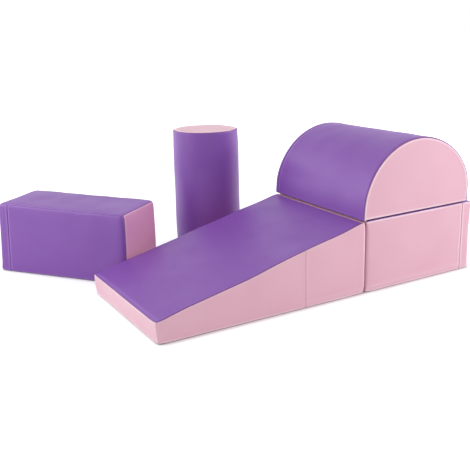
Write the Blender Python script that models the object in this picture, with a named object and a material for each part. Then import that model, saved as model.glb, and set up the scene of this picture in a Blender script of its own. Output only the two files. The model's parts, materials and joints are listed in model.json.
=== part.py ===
"""A soft play climbing set of five foam modules in sewn covers: a wedge ramp, a step block with a
half-round on top, a cuboid and an upright cylinder. Metres, +Z up, +X up the ramp. The origin is the
middle of the step block's underside, on the floor.

Every module is a foam core inside a cover. A cover is cut into panels, which meet at seams on the
rounded edges, and each panel is a shell that follows the core at a constant distance.
"""

import math
from collections import namedtuple

import bmesh
import bpy
from mathutils import Matrix, Vector

# Covers and seams
COVER_THICKNESS = 0.0010
FIT_GAP = 0.0003
SEAM_GAP = 0.0005
EDGE_RADIUS = 0.009
CROWN = 0.003

# Ramp, step block and half-round share one width
SET_WIDTH = 0.500
BLOCK_LENGTH = 0.454
BLOCK_HEIGHT = 0.240
BLOCK_CAP_RETURN = 0.039
RAMP_LENGTH = 0.732
RAMP_TOE_HEIGHT = 0.066
RAMP_HEEL_HEIGHT = 0.239
RAMP_TOE_SETBACK = 0.007
RAMP_SIDE_SEAM = 0.500
HALF_ROUND_RADIUS = 0.226
HALF_ROUND_SKIRT = 0.015
HALF_ROUND_SHIFT = 0.015
HALF_ROUND_BAND = 0.013

# The two modules that stand beside the climb
CUBOID_LENGTH = 0.502
CUBOID_DEPTH = 0.232
CUBOID_HEIGHT = 0.241
CUBOID_CAP_RETURN = 0.029
CUBOID_X = -0.904
CUBOID_Y = 0.531
CUBOID_TURN = math.radians(127.7)
CYLINDER_RADIUS = 0.120
CYLINDER_HEIGHT = 0.460
CYLINDER_X = -0.385
CYLINDER_Y = 0.513
CYLINDER_TURN = math.radians(60)

# Hook and loop strips between ramp, step block and half-round
STRIP_THICKNESS = 0.0020
STRIP_WIDTH = 0.050
STRIP_LENGTH = 0.400
STRIP_CORNER = 0.008
FACE_STRIP_HEIGHT = 0.120
FACE_STRIP_SPACING = 0.110
TOP_STRIP_SPACING = 0.250

# Zips
ZIP_HEIGHT = 0.052
BLOCK_ZIP_LENGTH = 0.360
RAMP_ZIP_LENGTH = 0.340
RAMP_ZIP_SETBACK = 0.230
HALF_ROUND_ZIP_LENGTH = 0.320
CUBOID_ZIP_LENGTH = 0.360
CYLINDER_ZIP_LENGTH = 0.320
ZIP_TAPE_WIDTH = 0.0120
ZIP_CHAIN_WIDTH = 0.0056
ZIP_TOOTH_PITCH = 0.0040
ZIP_TOOTH_HEIGHT = 0.0012
ZIP_END = 0.006

# Zip slider and its pull tab
SLIDER_LENGTH = 0.016
SLIDER_NOSE = 0.004
SLIDER_WALL = 0.0012
BRIDGE_WIDTH = 0.0020
BRIDGE_LEG = 0.0015
BRIDGE_OPENING = 0.0060
BRIDGE_RISE = 0.0022
PULL_THICKNESS = 0.0012
PULL_CROSSBAR = 0.0014
PULL_EYE_LENGTH = 0.0050
PULL_ARM = 0.0016
PULL_BLADE_LENGTH = 0.018
PULL_SIDE_GAP = 0.0005

# How finely round shapes are divided, in counts and angles
CORNER_STEPS = 4
ARCH_STEPS = 24
CYLINDER_STEPS = 32
TIP_STEPS = 6
PLAIN_SHARES = (0.0, 1.0)
CROWNED_SHARES = (0.0, 0.25, 0.5, 0.75, 1.0)
FLAT_RING_SHARES = (1.0,)
CROWNED_RING_SHARES = (0.3, 0.65, 1.0)
SHARP_ANGLE = math.radians(35)
QUARTER_TURN = math.pi / 2
HALF_TURN = math.pi
WELD_DISTANCE = 0.000002
CUT_OVERRUN = 0.004

# A face of the outline bulges by its crown; marks are the shares of its length that get a station
Arc = namedtuple("Arc", "centre radius start stop steps")
Face = namedtuple("Face", "start stop crown marks")
Station = namedtuple("Station", "point normal lift")
Row = namedtuple("Row", "across tilt swell inward puff")

COLOURS = {
    "purple_cover": ((0.242, 0.105, 0.402), 0.42, 0.0),
    "pink_cover": ((0.768, 0.456, 0.545), 0.42, 0.0),
    "foam": ((0.80, 0.78, 0.70), 0.95, 0.0),
    "non_slip_base": ((0.045, 0.045, 0.050), 0.85, 0.0),
    "hook_and_loop": ((0.055, 0.045, 0.065), 0.95, 0.0),
    "zip_teeth": ((0.235, 0.110, 0.390), 0.45, 0.0),
    "zip_metal": ((0.42, 0.42, 0.44), 0.30, 1.0),
}


def clear_scene():
    for old in list(bpy.data.objects):
        bpy.data.objects.remove(old)


def make_materials():
    made = {}
    for name, (colour, roughness, metallic) in COLOURS.items():
        material = bpy.data.materials.new(name)
        material.use_nodes = True
        shader = material.node_tree.nodes["Principled BSDF"]
        shader.inputs["Base Color"].default_value = (*colour, 1.0)
        shader.inputs["Roughness"].default_value = roughness
        shader.inputs["Metallic"].default_value = metallic
        made[name] = material
    return made


def module_empty(name, location, turn=0.0):
    """The empty that a module's pieces hang on. A module that lifts off moves by this empty."""
    empty = bpy.data.objects.new(name, None)
    empty.location = location
    empty.rotation_euler = (0.0, 0.0, turn)
    bpy.context.scene.collection.objects.link(empty)
    return empty


def add_piece(name, bm, material, parent, place=None):
    """Closes a bmesh into a named, smooth-shaded object under its module's empty."""
    bmesh.ops.remove_doubles(bm, verts=bm.verts, dist=WELD_DISTANCE)
    bmesh.ops.recalc_face_normals(bm, faces=bm.faces)
    mesh = bpy.data.meshes.new(name)
    bm.to_mesh(mesh)
    bm.free()
    mesh.shade_smooth()
    mesh.set_sharp_from_angle(angle=SHARP_ANGLE)
    if material is not None:
        mesh.materials.append(material)
    piece = bpy.data.objects.new(name, mesh)
    bpy.context.scene.collection.objects.link(piece)
    piece.parent = parent
    if place is not None:
        piece.matrix_local = place
    return piece


def apply_tool(target, tool, operation):
    """A Boolean between a piece and a tool object, which is hidden and kept out of the model."""
    tool.hide_render = True
    tool.display_type = "WIRE"
    modifier = target.modifiers.new(tool.name, "BOOLEAN")
    modifier.operation = operation
    modifier.solver = "EXACT"
    modifier.object = tool


def swell(share):
    """Bulge of a stuffed face at a share of its length: none at its ends, all of it in the middle."""
    return 4 * share * (1 - share)


def arc_stations(arc):
    stations = []
    for i in range(arc.steps + 1):
        angle = arc.start + (arc.stop - arc.start) * i / arc.steps
        normal = Vector((math.cos(angle), math.sin(angle)))
        stations.append(Station(arc.centre + normal * arc.radius, normal, 0.0))
    return stations


def face_stations(face, begin=0.0, end=1.0):
    along = face.stop - face.start
    normal = Vector((along.y, -along.x)).normalized()
    shares = [begin] + [mark for mark in face.marks if begin < mark < end] + [end]
    return [Station(face.start + along * u, normal, face.crown * swell(u)) for u in shares]


def joined(*stretches):
    """Stretches of an outline end to end, with each shared station kept once."""
    stations = list(stretches[0])
    for stretch in stretches[1:]:
        skip = (stretch[0].point - stations[-1].point).length < WELD_DISTANCE
        stations += stretch[1:] if skip else stretch
    return stations


def rounded_outline(corners, crowns, marks):
    """Corner arcs and faces of a convex polygon, walked anticlockwise. Face k starts at corner k."""
    count = len(corners)
    points = [Vector(corner) for corner in corners]
    normals = []
    for k in range(count):
        along = points[(k + 1) % count] - points[k]
        normals.append(Vector((along.y, -along.x)).normalized())
    arcs = []
    for k in range(count):
        before, after = normals[k - 1], normals[k]
        centre = points[k] - (before + after) * (EDGE_RADIUS / (1 + before.dot(after)))
        start = math.atan2(before.y, before.x)
        arcs.append(Arc(centre, EDGE_RADIUS, start, start + before.angle(after), CORNER_STEPS))
    faces = []
    for k in range(count):
        edge = normals[k] * EDGE_RADIUS
        begin, end = arcs[k].centre + edge, arcs[(k + 1) % count].centre + edge
        faces.append(Face(begin, end, crowns[k], marks[k]))
    return arcs, faces


def seam_turn(radius):
    """Half of a seam's gap, as an angle on an edge of that radius."""
    return SEAM_GAP / 2 / radius


def arc_to_seam(arc):
    """The first half of a rounded edge, up to the seam along its middle."""
    middle = (arc.start + arc.stop) / 2 - seam_turn(arc.radius)
    return arc_stations(arc._replace(stop=middle, steps=arc.steps // 2))


def arc_from_seam(arc):
    middle = (arc.start + arc.stop) / 2 + seam_turn(arc.radius)
    return arc_stations(arc._replace(start=middle, steps=arc.steps // 2))


def shares_for(crown):
    """A face that bulges needs stations along it; a flat one only its ends."""
    return CROWNED_SHARES if crown > 0 else PLAIN_SHARES


def face_length(face):
    return (face.stop - face.start).length


def seam_shares(face, distance):
    """Where two panels end on a face, either side of a seam at a distance from the face's start."""
    middle, half = distance / face_length(face), SEAM_GAP / 2 / face_length(face)
    return middle - half, middle + half


def rim_rows(across, begin, end, steps):
    """Rows round the edge between the wrap and an end: tilt 0 faces out, a quarter turn faces the end."""
    return [Row(across, begin + (end - begin) * i / steps, 0.0, 0.0, 0.0) for i in range(steps + 1)]


def middle_rows(width, shares):
    straight = width - 2 * EDGE_RADIUS
    return [Row(EDGE_RADIUS + straight * v, 0.0, swell(v), 0.0, 0.0) for v in shares]


def wrap_rows(width, shares):
    """Rows of a wrap panel, from the seam on the near edge to the seam on the far edge."""
    reach = QUARTER_TURN / 2 - seam_turn(EDGE_RADIUS)
    steps = CORNER_STEPS // 2
    near = rim_rows(EDGE_RADIUS, -reach, 0.0, steps)
    far = rim_rows(width - EDGE_RADIUS, 0.0, reach, steps)
    return near + middle_rows(width, shares)[1:-1] + far


def ring_rows(across, side, crown, shares):
    """Rings of an end face, which run in from its edge and rise to the crown in the middle."""
    rows = []
    for share in shares:
        rise = 1 - (1 - share) ** 2
        rows.append(Row(across, side * QUARTER_TURN, 0.0, share, side * crown * rise))
    return rows


def end_rows(width, side, crown, shares, begin=None):
    """Rows of an end panel, from the seam on the edge to the middle. side is -1 near and 1 far."""
    across = width - EDGE_RADIUS if side > 0 else EDGE_RADIUS
    start = QUARTER_TURN / 2 + seam_turn(EDGE_RADIUS) if begin is None else begin
    steps = CORNER_STEPS // 2 if begin is None else CORNER_STEPS
    rim = rim_rows(across, side * start, side * QUARTER_TURN, steps)
    return rim + ring_rows(across, side, crown, shares)


def surface_point(station, row, depth, centre):
    """A point below the module's surface, as the two outline axes and the way across them."""
    round_edge = (EDGE_RADIUS - depth) * math.cos(row.tilt) - EDGE_RADIUS
    flat = station.point + station.normal * (round_edge + station.lift * row.swell)
    flat = flat.lerp(centre, row.inward)
    return flat.x, flat.y, row.across + (EDGE_RADIUS - depth) * math.sin(row.tilt) + row.puff


def add_grid(bm, stations, rows, depth, centre, axes, closed):
    """Triangles over rows of stations, all split the same way so that shells stay parallel."""
    grid = []
    for row in rows:
        points = [surface_point(station, row, depth, centre) for station in stations]
        grid.append([bm.verts.new(axes @ Vector(point)) for point in points])
    count = len(stations)
    for lower, upper in zip(grid, grid[1:]):
        for j in range(count if closed else count - 1):
            k = (j + 1) % count
            bm.faces.new((lower[j], lower[k], upper[k]))
            bm.faces.new((lower[j], upper[k], upper[j]))
    return grid


def add_wall(bm, one, other, closed=False):
    """The thickness of a panel along one of its borders."""
    count = len(one)
    for j in range(count if closed else count - 1):
        k = (j + 1) % count
        bm.faces.new((one[j], one[k], other[k], other[j]))


class Module:
    """One foam block of the set: its outline, its width across the outline and its two ends."""

    def __init__(self, name, parent, stations, centre, width, axes):
        self.name, self.parent = name, parent
        self.stations, self.centre = stations, Vector(centre)
        self.width, self.axes = width, axes

    def core(self, shares, near, far, material):
        """The foam inside the cover. near and far are the crown and ring shares of the two ends."""
        rows = list(reversed(end_rows(self.width, -1, *near, begin=0.0)))
        rows += middle_rows(self.width, shares)[1:-1]
        rows += end_rows(self.width, 1, *far, begin=0.0)
        bm = bmesh.new()
        depth = COVER_THICKNESS + FIT_GAP
        add_grid(bm, self.stations, rows, depth, self.centre, self.axes, True)
        return add_piece(f"{self.name}_foam_core", bm, material, self.parent)

    def wrap_panel(self, part, stations, rows, material):
        bm = bmesh.new()
        args = (self.centre, self.axes, False)
        outer = add_grid(bm, stations, rows, 0.0, *args)
        inner = add_grid(bm, stations, rows, COVER_THICKNESS, *args)
        for end in (0, -1):
            add_wall(bm, outer[end], inner[end])
            add_wall(bm, [row[end] for row in outer], [row[end] for row in inner])
        return add_piece(f"{self.name}_{part}", bm, material, self.parent)

    def end_panel(self, part, side, crown, shares, material):
        bm = bmesh.new()
        rows = end_rows(self.width, side, crown, shares)
        args = (self.centre, self.axes, True)
        outer = add_grid(bm, self.stations, rows, 0.0, *args)
        inner = add_grid(bm, self.stations, rows, COVER_THICKNESS, *args)
        add_wall(bm, outer[0], inner[0], True)
        return add_piece(f"{self.name}_{part}", bm, material, self.parent)


def box_mesh(low, high):
    bm = bmesh.new()
    size = Vector(high) - Vector(low)
    middle = (Vector(high) + Vector(low)) / 2
    place = Matrix.Translation(middle) @ Matrix.Diagonal((*size, 1.0))
    bmesh.ops.create_cube(bm, size=1.0, matrix=place)
    return bm


def prism_mesh(points, low, high, axes):
    """A flat outline given thickness from low to high along the third axis."""
    bm = bmesh.new()
    bottom = [bm.verts.new(axes @ Vector((x, y, low))) for x, y in points]
    top = [bm.verts.new(axes @ Vector((x, y, high))) for x, y in points]
    bm.faces.new(bottom)
    bm.faces.new(top)
    add_wall(bm, bottom, top, True)
    return bm


def axes_from(first, second, third, origin=(0.0, 0.0, 0.0)):
    """The matrix that carries x, y, z onto three directions from an origin."""
    matrix = Matrix((first, second, third)).transposed().to_4x4()
    matrix.translation = origin
    return matrix


def round_rectangle(length, width, radius, steps):
    """Points round a flat rectangle with rounded corners, centred on the origin."""
    points = []
    inner = Vector((length / 2 - radius, width / 2 - radius))
    for k, (sx, sy) in enumerate(((1, 1), (-1, 1), (-1, -1), (1, -1))):
        for i in range(steps + 1):
            angle = QUARTER_TURN * (k + i / steps)
            x, y = sx * inner.x + radius * math.cos(angle), sy * inner.y + radius * math.sin(angle)
            points.append((x, y))
    return points


UPRIGHT = Matrix.Identity(4)


def sideways(width):
    """Outline axes X and Z, with the way across along +Y, centred on the module's middle."""
    return axes_from((1, 0, 0), (0, 0, 1), (0, 1, 0), (0, -width / 2, 0))


def split_panel(panel, name, parent, place, material):
    """Cuts a side panel in two along an upright seam: the given panel keeps the toe side."""
    other = bpy.data.objects.new(name, panel.data.copy())
    bpy.context.scene.collection.objects.link(other)
    other.parent = parent
    other.data.materials.clear()
    other.data.materials.append(material)
    reach, half = RAMP_LENGTH + CUT_OVERRUN, SEAM_GAP / 2
    for piece, low, high in ((panel, place - half, reach), (other, -reach, place + half)):
        bm = box_mesh((low, -reach, -reach), (high, reach, reach))
        apply_tool(piece, add_piece(f"{piece.name}_seam_tool", bm, None, parent), "DIFFERENCE")


def zip_chain_mesh(length):
    """A zip tape with a row of ridged teeth along its middle, as one body."""
    teeth = int((length - 2 * ZIP_END) / ZIP_TOOTH_PITCH)
    run = teeth * ZIP_TOOTH_PITCH
    edge, rail = ZIP_TAPE_WIDTH / 2, ZIP_CHAIN_WIDTH / 2
    bm = bmesh.new()

    def vertex(x, y, z):
        return bm.verts.new((x, y, z))

    ends = (-length / 2, length / 2)
    bottom = [[vertex(x, side * edge, -COVER_THICKNESS) for x in ends] for side in (-1, 1)]
    outer = [[vertex(x, side * edge, 0.0) for x in ends] for side in (-1, 1)]
    rails, crests = [], []
    for side in (-1, 1):
        feet = [-length / 2] + [k * ZIP_TOOTH_PITCH - run / 2 for k in range(teeth + 1)] + [length / 2]
        rails.append([vertex(x, side * rail, 0.0) for x in feet])
        tops = [(k + 0.5) * ZIP_TOOTH_PITCH - run / 2 for k in range(teeth)]
        crests.append([vertex(x, side * rail, ZIP_TOOTH_HEIGHT) for x in tops])
    for foot, edges, crest in zip(rails, outer, crests):
        middle = len(foot) // 2
        for k in range(len(foot) - 1):
            bm.faces.new((foot[k], foot[k + 1], edges[0] if k < middle else edges[1]))
        bm.faces.new((edges[0], foot[middle], edges[1]))
        for k in range(teeth):
            bm.faces.new((foot[k + 1], foot[k + 2], crest[k]))
    (left, right), (low, high) = rails, crests
    for k in range(teeth):
        bm.faces.new((left[k + 1], low[k], high[k], right[k + 1]))
        bm.faces.new((low[k], left[k + 2], right[k + 2], high[k]))
    for end in (0, -1):
        near = end if end == 0 else -2
        bm.faces.new((left[near], left[near + 1], right[near + 1], right[near]))
        corners = (bottom[0][end], bottom[1][end])
        bm.faces.new((corners[0], outer[0][end], left[end]))
        bm.faces.new((corners[0], left[end], right[end]))
        bm.faces.new((corners[0], right[end], corners[1]))
        bm.faces.new((corners[1], right[end], outer[1][end]))
    for side in (0, 1):
        bm.faces.new((bottom[side][0], bottom[side][1], outer[side][1], outer[side][0]))
    bm.faces.new((bottom[0][0], bottom[0][1], bottom[1][1], bottom[1][0]))
    return bm


def slider_meshes():
    """The slider's channel over the teeth, the clearance in it, and the bridge that holds the pull."""
    half = ZIP_CHAIN_WIDTH / 2 + FIT_GAP
    side = half + SLIDER_WALL
    ceiling = ZIP_TOOTH_HEIGHT + FIT_GAP
    top = ceiling + SLIDER_WALL
    tail, nose = -SLIDER_LENGTH / 2, SLIDER_LENGTH / 2
    shoulder, tip = nose - SLIDER_NOSE, (half + side) / 2
    plan = [(tail, -side), (shoulder, -side), (nose, -tip), (nose, tip), (shoulder, side), (tail, side)]
    body = prism_mesh(plan, FIT_GAP, top, UPRIGHT)
    channel = box_mesh((2 * tail, -half, -top), (2 * nose, half, ceiling))
    inside, outside = BRIDGE_OPENING / 2, BRIDGE_OPENING / 2 + BRIDGE_LEG
    under, over = top + BRIDGE_RISE, top + BRIDGE_RISE + SLIDER_WALL
    foot = top - SLIDER_WALL / 2
    profile = [
        (-outside, foot),
        (-inside, foot),
        (-inside, under),
        (inside, under),
        (inside, foot),
        (outside, foot),
        (outside, under),
        (inside, over),
        (-inside, over),
        (-outside, under),
    ]
    upright = axes_from((1, 0, 0), (0, 0, 1), (0, 1, 0))
    bridge = prism_mesh(profile, -BRIDGE_WIDTH / 2, BRIDGE_WIDTH / 2, upright)
    return body, channel, bridge


def pull_height():
    """Height of the pull's hinge above the cover: the middle of the bridge's opening."""
    return ZIP_TOOTH_HEIGHT + FIT_GAP + SLIDER_WALL + BRIDGE_RISE / 2


def pull_meshes():
    """The pull tab about its crossbar, which is its hinge, and the eye that goes round the bridge."""
    eye_half = BRIDGE_WIDTH / 2 + PULL_SIDE_GAP
    half = eye_half + PULL_ARM
    back = PULL_CROSSBAR / 2
    straight = back + PULL_EYE_LENGTH + PULL_BLADE_LENGTH - half
    points = [(back, -half), (back, half)]
    for i in range(TIP_STEPS + 1):
        angle = QUARTER_TURN + HALF_TURN * i / TIP_STEPS
        points.append((-straight + half * math.cos(angle), half * math.sin(angle)))
    blade = prism_mesh(points, -PULL_THICKNESS / 2, PULL_THICKNESS / 2, UPRIGHT)
    eye_end = back + PULL_EYE_LENGTH
    eye = box_mesh((-eye_end, -eye_half, -CUT_OVERRUN), (-back, eye_half, CUT_OVERRUN))
    return blade, eye


def add_zip(name, parent, panel, place, length, materials):
    """A zip let into a slot in a panel. place carries along, across and out onto the module's axes."""
    slot_length, slot_width = length + 2 * FIT_GAP, ZIP_TAPE_WIDTH + 2 * FIT_GAP
    low = (-slot_length / 2, -slot_width / 2, -CUT_OVERRUN)
    slot = box_mesh(low, (slot_length / 2, slot_width / 2, CUT_OVERRUN))
    apply_tool(panel, add_piece(f"{name}_zip_slot_tool", slot, None, parent, place), "DIFFERENCE")
    add_piece(f"{name}_zip_chain", zip_chain_mesh(length), materials["zip_teeth"], parent, place)
    start = -length / 2 + ZIP_END + SLIDER_LENGTH / 2
    seat = place @ Matrix.Translation((start, 0.0, 0.0))
    body, channel, bridge = slider_meshes()
    slider = add_piece(f"{name}_zip_slider", body, materials["zip_metal"], parent, seat)
    tools = ((channel, "channel_tool", "DIFFERENCE"), (bridge, "bridge_tool", "UNION"))
    for bm, part, operation in tools:
        apply_tool(slider, add_piece(f"{slider.name}_{part}", bm, None, parent, seat), operation)
    hinge = seat @ Matrix.Translation((0.0, 0.0, pull_height()))
    blade, eye = pull_meshes()
    pull = add_piece(f"{name}_zip_pull", blade, materials["zip_metal"], parent, hinge)
    apply_tool(pull, add_piece(f"{pull.name}_eye_tool", eye, None, parent, hinge), "DIFFERENCE")


def add_strip(name, parent, place, material):
    """A hook or loop strip on a cover. place carries its length, width and outward way."""
    points = round_rectangle(STRIP_LENGTH, STRIP_WIDTH, STRIP_CORNER, CORNER_STEPS // 2)
    bm = prism_mesh(points, FIT_GAP, FIT_GAP + STRIP_THICKNESS, UPRIGHT)
    add_piece(name, bm, material, parent, place)


def joint_gap():
    """Distance between the covers of two modules that hook and loop strips hold together."""
    return 2 * STRIP_THICKNESS + 3 * FIT_GAP


def build_box(name, parent, size, cap_return, side_crown, end_crown, top, colours, materials):
    """A box module. Its cap is the +X face and turns the corner on to both long sides."""
    length, depth, height = size
    x, y = length / 2, depth / 2
    corners = [(-x, -y), (x, -y), (x, y), (-x, y)]
    straight = length - 2 * EDGE_RADIUS
    turn_in = cap_return - EDGE_RADIUS
    seams = {0: 1 - turn_in / straight, 2: turn_in / straight}
    crowns = (side_crown[0], 0.0, side_crown[1], end_crown)
    marks = [sorted({*shares_for(crown), seams.get(k, 0.0)}) for k, crown in enumerate(crowns)]
    arcs, faces = rounded_outline(corners, crowns, marks)
    stations = []
    for arc, face in zip(arcs, faces):
        stations += arc_stations(arc) + face_stations(face)[1:-1]
    module = Module(name, parent, stations, (0.0, 0.0), height, UPRIGHT)
    top_crown, top_shares = top
    module.core(CROWNED_SHARES, (0.0, FLAT_RING_SHARES), top, materials["foam"])
    one_end, cap_begin = seam_shares(faces[0], straight - turn_in)
    cap_end, two_begin = seam_shares(faces[2], turn_in)
    panels = {
        "first_side": joined(arc_from_seam(arcs[0]), face_stations(faces[0], 0.0, one_end)),
        "end_cap": joined(
            face_stations(faces[0], cap_begin, 1.0),
            arc_stations(arcs[1]),
            face_stations(faces[1]),
            arc_stations(arcs[2]),
            face_stations(faces[2], 0.0, cap_end),
        ),
        "second_side": joined(face_stations(faces[2], two_begin, 1.0), arc_to_seam(arcs[3])),
        "end": joined(arc_from_seam(arcs[3]), face_stations(faces[3]), arc_to_seam(arcs[0])),
    }
    made = {}
    for key, stretch in panels.items():
        part, colour = colours[key]
        bulge = max(station.lift for station in stretch)
        rows = wrap_rows(height, shares_for(bulge))
        made[key] = module.wrap_panel(part, stretch, rows, materials[colour])
    part, colour = colours["top"]
    module.end_panel(part, 1, top_crown, top_shares, materials[colour])
    module.end_panel("base_panel", -1, 0.0, FLAT_RING_SHARES, materials["non_slip_base"])
    return made


def build_step_block(materials):
    parent = module_empty("step_block", (0.0, 0.0, 0.0))
    colours = {
        "first_side": ("near_panel", "pink_cover"),
        "end_cap": ("rear_cap", "pink_cover"),
        "second_side": ("far_panel", "pink_cover"),
        "end": ("front_panel", "pink_cover"),
        "top": ("top_panel", "purple_cover"),
    }
    size = (BLOCK_LENGTH, SET_WIDTH, BLOCK_HEIGHT)
    flat_top = (0.0, FLAT_RING_SHARES)
    sides = (CROWN, CROWN)
    made = build_box(
        "block", parent, size, BLOCK_CAP_RETURN, sides, 0.0, flat_top, colours, materials
    )
    rear = BLOCK_LENGTH / 2
    place = axes_from((0, 1, 0), (0, 0, 1), (1, 0, 0), (rear, 0, ZIP_HEIGHT))
    add_zip("block", parent, made["end_cap"], place, BLOCK_ZIP_LENGTH, materials)
    for label, side in (("low", -1), ("high", 1)):
        height = FACE_STRIP_HEIGHT + side * FACE_STRIP_SPACING / 2
        place = axes_from((0, -1, 0), (0, 0, 1), (-1, 0, 0), (-rear, 0, height))
        add_strip(f"block_{label}_loop_strip", parent, place, materials["hook_and_loop"])
    for label, side in (("front", -1), ("rear", 1)):
        middle = side * TOP_STRIP_SPACING / 2 - HALF_ROUND_SHIFT
        place = axes_from((0, 1, 0), (-1, 0, 0), (0, 0, 1), (middle, 0, BLOCK_HEIGHT))
        add_strip(f"block_{label}_top_loop_strip", parent, place, materials["hook_and_loop"])


def build_ramp(materials):
    """The wedge. Its own origin is the foot of its heel, and it runs down towards -X."""
    heel = -BLOCK_LENGTH / 2 - joint_gap()
    parent = module_empty("ramp", (heel, 0.0, 0.0))
    toe_foot = (-RAMP_LENGTH + RAMP_TOE_SETBACK, 0.0)
    corners = [toe_foot, (0.0, 0.0), (0.0, RAMP_HEEL_HEIGHT), (-RAMP_LENGTH, RAMP_TOE_HEIGHT)]
    marks = (PLAIN_SHARES, PLAIN_SHARES, CROWNED_SHARES, PLAIN_SHARES)
    arcs, faces = rounded_outline(corners, (0.0, 0.0, CROWN, 0.0), marks)
    stations = []
    for arc, face in zip(arcs, faces):
        stations += arc_stations(arc) + face_stations(face)[1:-1]
    middle = sum((Vector(corner) for corner in corners), Vector((0.0, 0.0))) / len(corners)
    module = Module("ramp", parent, stations, middle, SET_WIDTH, sideways(SET_WIDTH))
    near, far = (CROWN, CROWNED_RING_SHARES), (0.0, FLAT_RING_SHARES)
    module.core(CROWNED_SHARES, near, far, materials["foam"])
    parts = (
        ("base_panel", 0, "non_slip_base", PLAIN_SHARES),
        ("heel_panel", 1, "pink_cover", PLAIN_SHARES),
        ("slide_panel", 2, "purple_cover", CROWNED_SHARES),
        ("toe_panel", 3, "pink_cover", PLAIN_SHARES),
    )
    for part, k, colour, shares in parts:
        after = arcs[(k + 1) % len(arcs)]
        stretch = joined(arc_from_seam(arcs[k]), face_stations(faces[k]), arc_to_seam(after))
        module.wrap_panel(part, stretch, wrap_rows(SET_WIDTH, shares), materials[colour])
    seam = -RAMP_LENGTH + RAMP_SIDE_SEAM
    pink = materials["pink_cover"]
    panel = module.end_panel("near_toe_panel", -1, *near, pink)
    split_panel(panel, "ramp_near_heel_panel", parent, seam, pink)
    far_panel = module.end_panel("far_panel", 1, *far, pink)
    place = axes_from((-1, 0, 0), (0, 0, 1), (0, 1, 0), (-RAMP_ZIP_SETBACK, SET_WIDTH / 2, ZIP_HEIGHT))
    add_zip("ramp", parent, far_panel, place, RAMP_ZIP_LENGTH, materials)
    for label, side in (("low", -1), ("high", 1)):
        height = FACE_STRIP_HEIGHT + side * FACE_STRIP_SPACING / 2
        place = axes_from((0, 1, 0), (0, 0, 1), (1, 0, 0), (0, 0, height))
        add_strip(f"ramp_{label}_hook_strip", parent, place, materials["hook_and_loop"])


def build_half_round(materials):
    """The half-round. Its own origin is the middle of its underside, above the step block."""
    parent = module_empty("half_round", (-HALF_ROUND_SHIFT, 0.0, BLOCK_HEIGHT + joint_gap()))
    radius, edge = HALF_ROUND_RADIUS, EDGE_RADIUS
    left = Arc(Vector((edge - radius, edge)), edge, HALF_TURN, HALF_TURN + QUARTER_TURN, CORNER_STEPS)
    right = Arc(Vector((radius - edge, edge)), edge, -QUARTER_TURN, 0.0, CORNER_STEPS)
    arch = Arc(Vector((0.0, HALF_ROUND_SKIRT)), radius, 0.0, HALF_TURN, ARCH_STEPS)
    ends = (Vector((edge - radius, 0.0)), Vector((radius - edge, 0.0)))
    base = face_stations(Face(*ends, 0.0, PLAIN_SHARES))
    over = joined(arc_stations(right), arc_stations(arch), arc_stations(left))
    stations = joined(over, base)[:-1]
    half_height = (HALF_ROUND_SKIRT + radius) / 2
    module = Module(
        "half_round", parent, stations, (0.0, half_height), SET_WIDTH, sideways(SET_WIDTH)
    )
    near, far = (CROWN, CROWNED_RING_SHARES), (0.0, FLAT_RING_SHARES)
    module.core(PLAIN_SHARES, near, far, materials["foam"])
    outside = joined(arc_from_seam(right), arc_stations(arch), arc_to_seam(left))
    rows = wrap_rows(SET_WIDTH, PLAIN_SHARES)
    near_rim, far_rim = rows[: len(rows) // 2], rows[len(rows) // 2 :]
    fold = SET_WIDTH - HALF_ROUND_BAND
    arch_end = Row(fold - SEAM_GAP / 2, 0.0, 0.0, 0.0, 0.0)
    band_begin = Row(fold + SEAM_GAP / 2, 0.0, 0.0, 0.0, 0.0)
    purple, pink = materials["purple_cover"], materials["pink_cover"]
    module.wrap_panel("arch_panel", outside, near_rim + [arch_end], purple)
    module.wrap_panel("far_band", outside, [band_begin] + far_rim, purple)
    under = joined(arc_from_seam(left), base, arc_to_seam(right))
    module.wrap_panel("base_panel", under, rows, materials["non_slip_base"])
    module.end_panel("near_end", -1, *near, pink)
    far_end = module.end_panel("far_end", 1, *far, pink)
    place = axes_from((-1, 0, 0), (0, 0, 1), (0, 1, 0), (0, SET_WIDTH / 2, ZIP_HEIGHT))
    add_zip("half_round", parent, far_end, place, HALF_ROUND_ZIP_LENGTH, materials)
    for label, side in (("front", -1), ("rear", 1)):
        middle = side * TOP_STRIP_SPACING / 2
        place = axes_from((0, 1, 0), (1, 0, 0), (0, 0, -1), (middle, 0, 0))
        add_strip(f"half_round_{label}_hook_strip", parent, place, materials["hook_and_loop"])


def build_cuboid(materials):
    """The cuboid stands behind the ramp's toe, turned so that its cap points away from the climb."""
    parent = module_empty("cuboid", (CUBOID_X, CUBOID_Y, 0.0), CUBOID_TURN)
    colours = {
        "first_side": ("back_panel", "purple_cover"),
        "end_cap": ("left_cap", "purple_cover"),
        "second_side": ("front_panel", "purple_cover"),
        "end": ("right_end", "pink_cover"),
        "top": ("top_panel", "purple_cover"),
    }
    size = (CUBOID_LENGTH, CUBOID_DEPTH, CUBOID_HEIGHT)
    crowned_top = (CROWN, CROWNED_RING_SHARES)
    sides = (0.0, CROWN)
    made = build_box(
        "cuboid", parent, size, CUBOID_CAP_RETURN, sides, CROWN, crowned_top, colours, materials
    )
    place = axes_from((1, 0, 0), (0, 0, 1), (0, -1, 0), (0, -CUBOID_DEPTH / 2, ZIP_HEIGHT))
    add_zip("cuboid", parent, made["first_side"], place, CUBOID_ZIP_LENGTH, materials)


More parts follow.
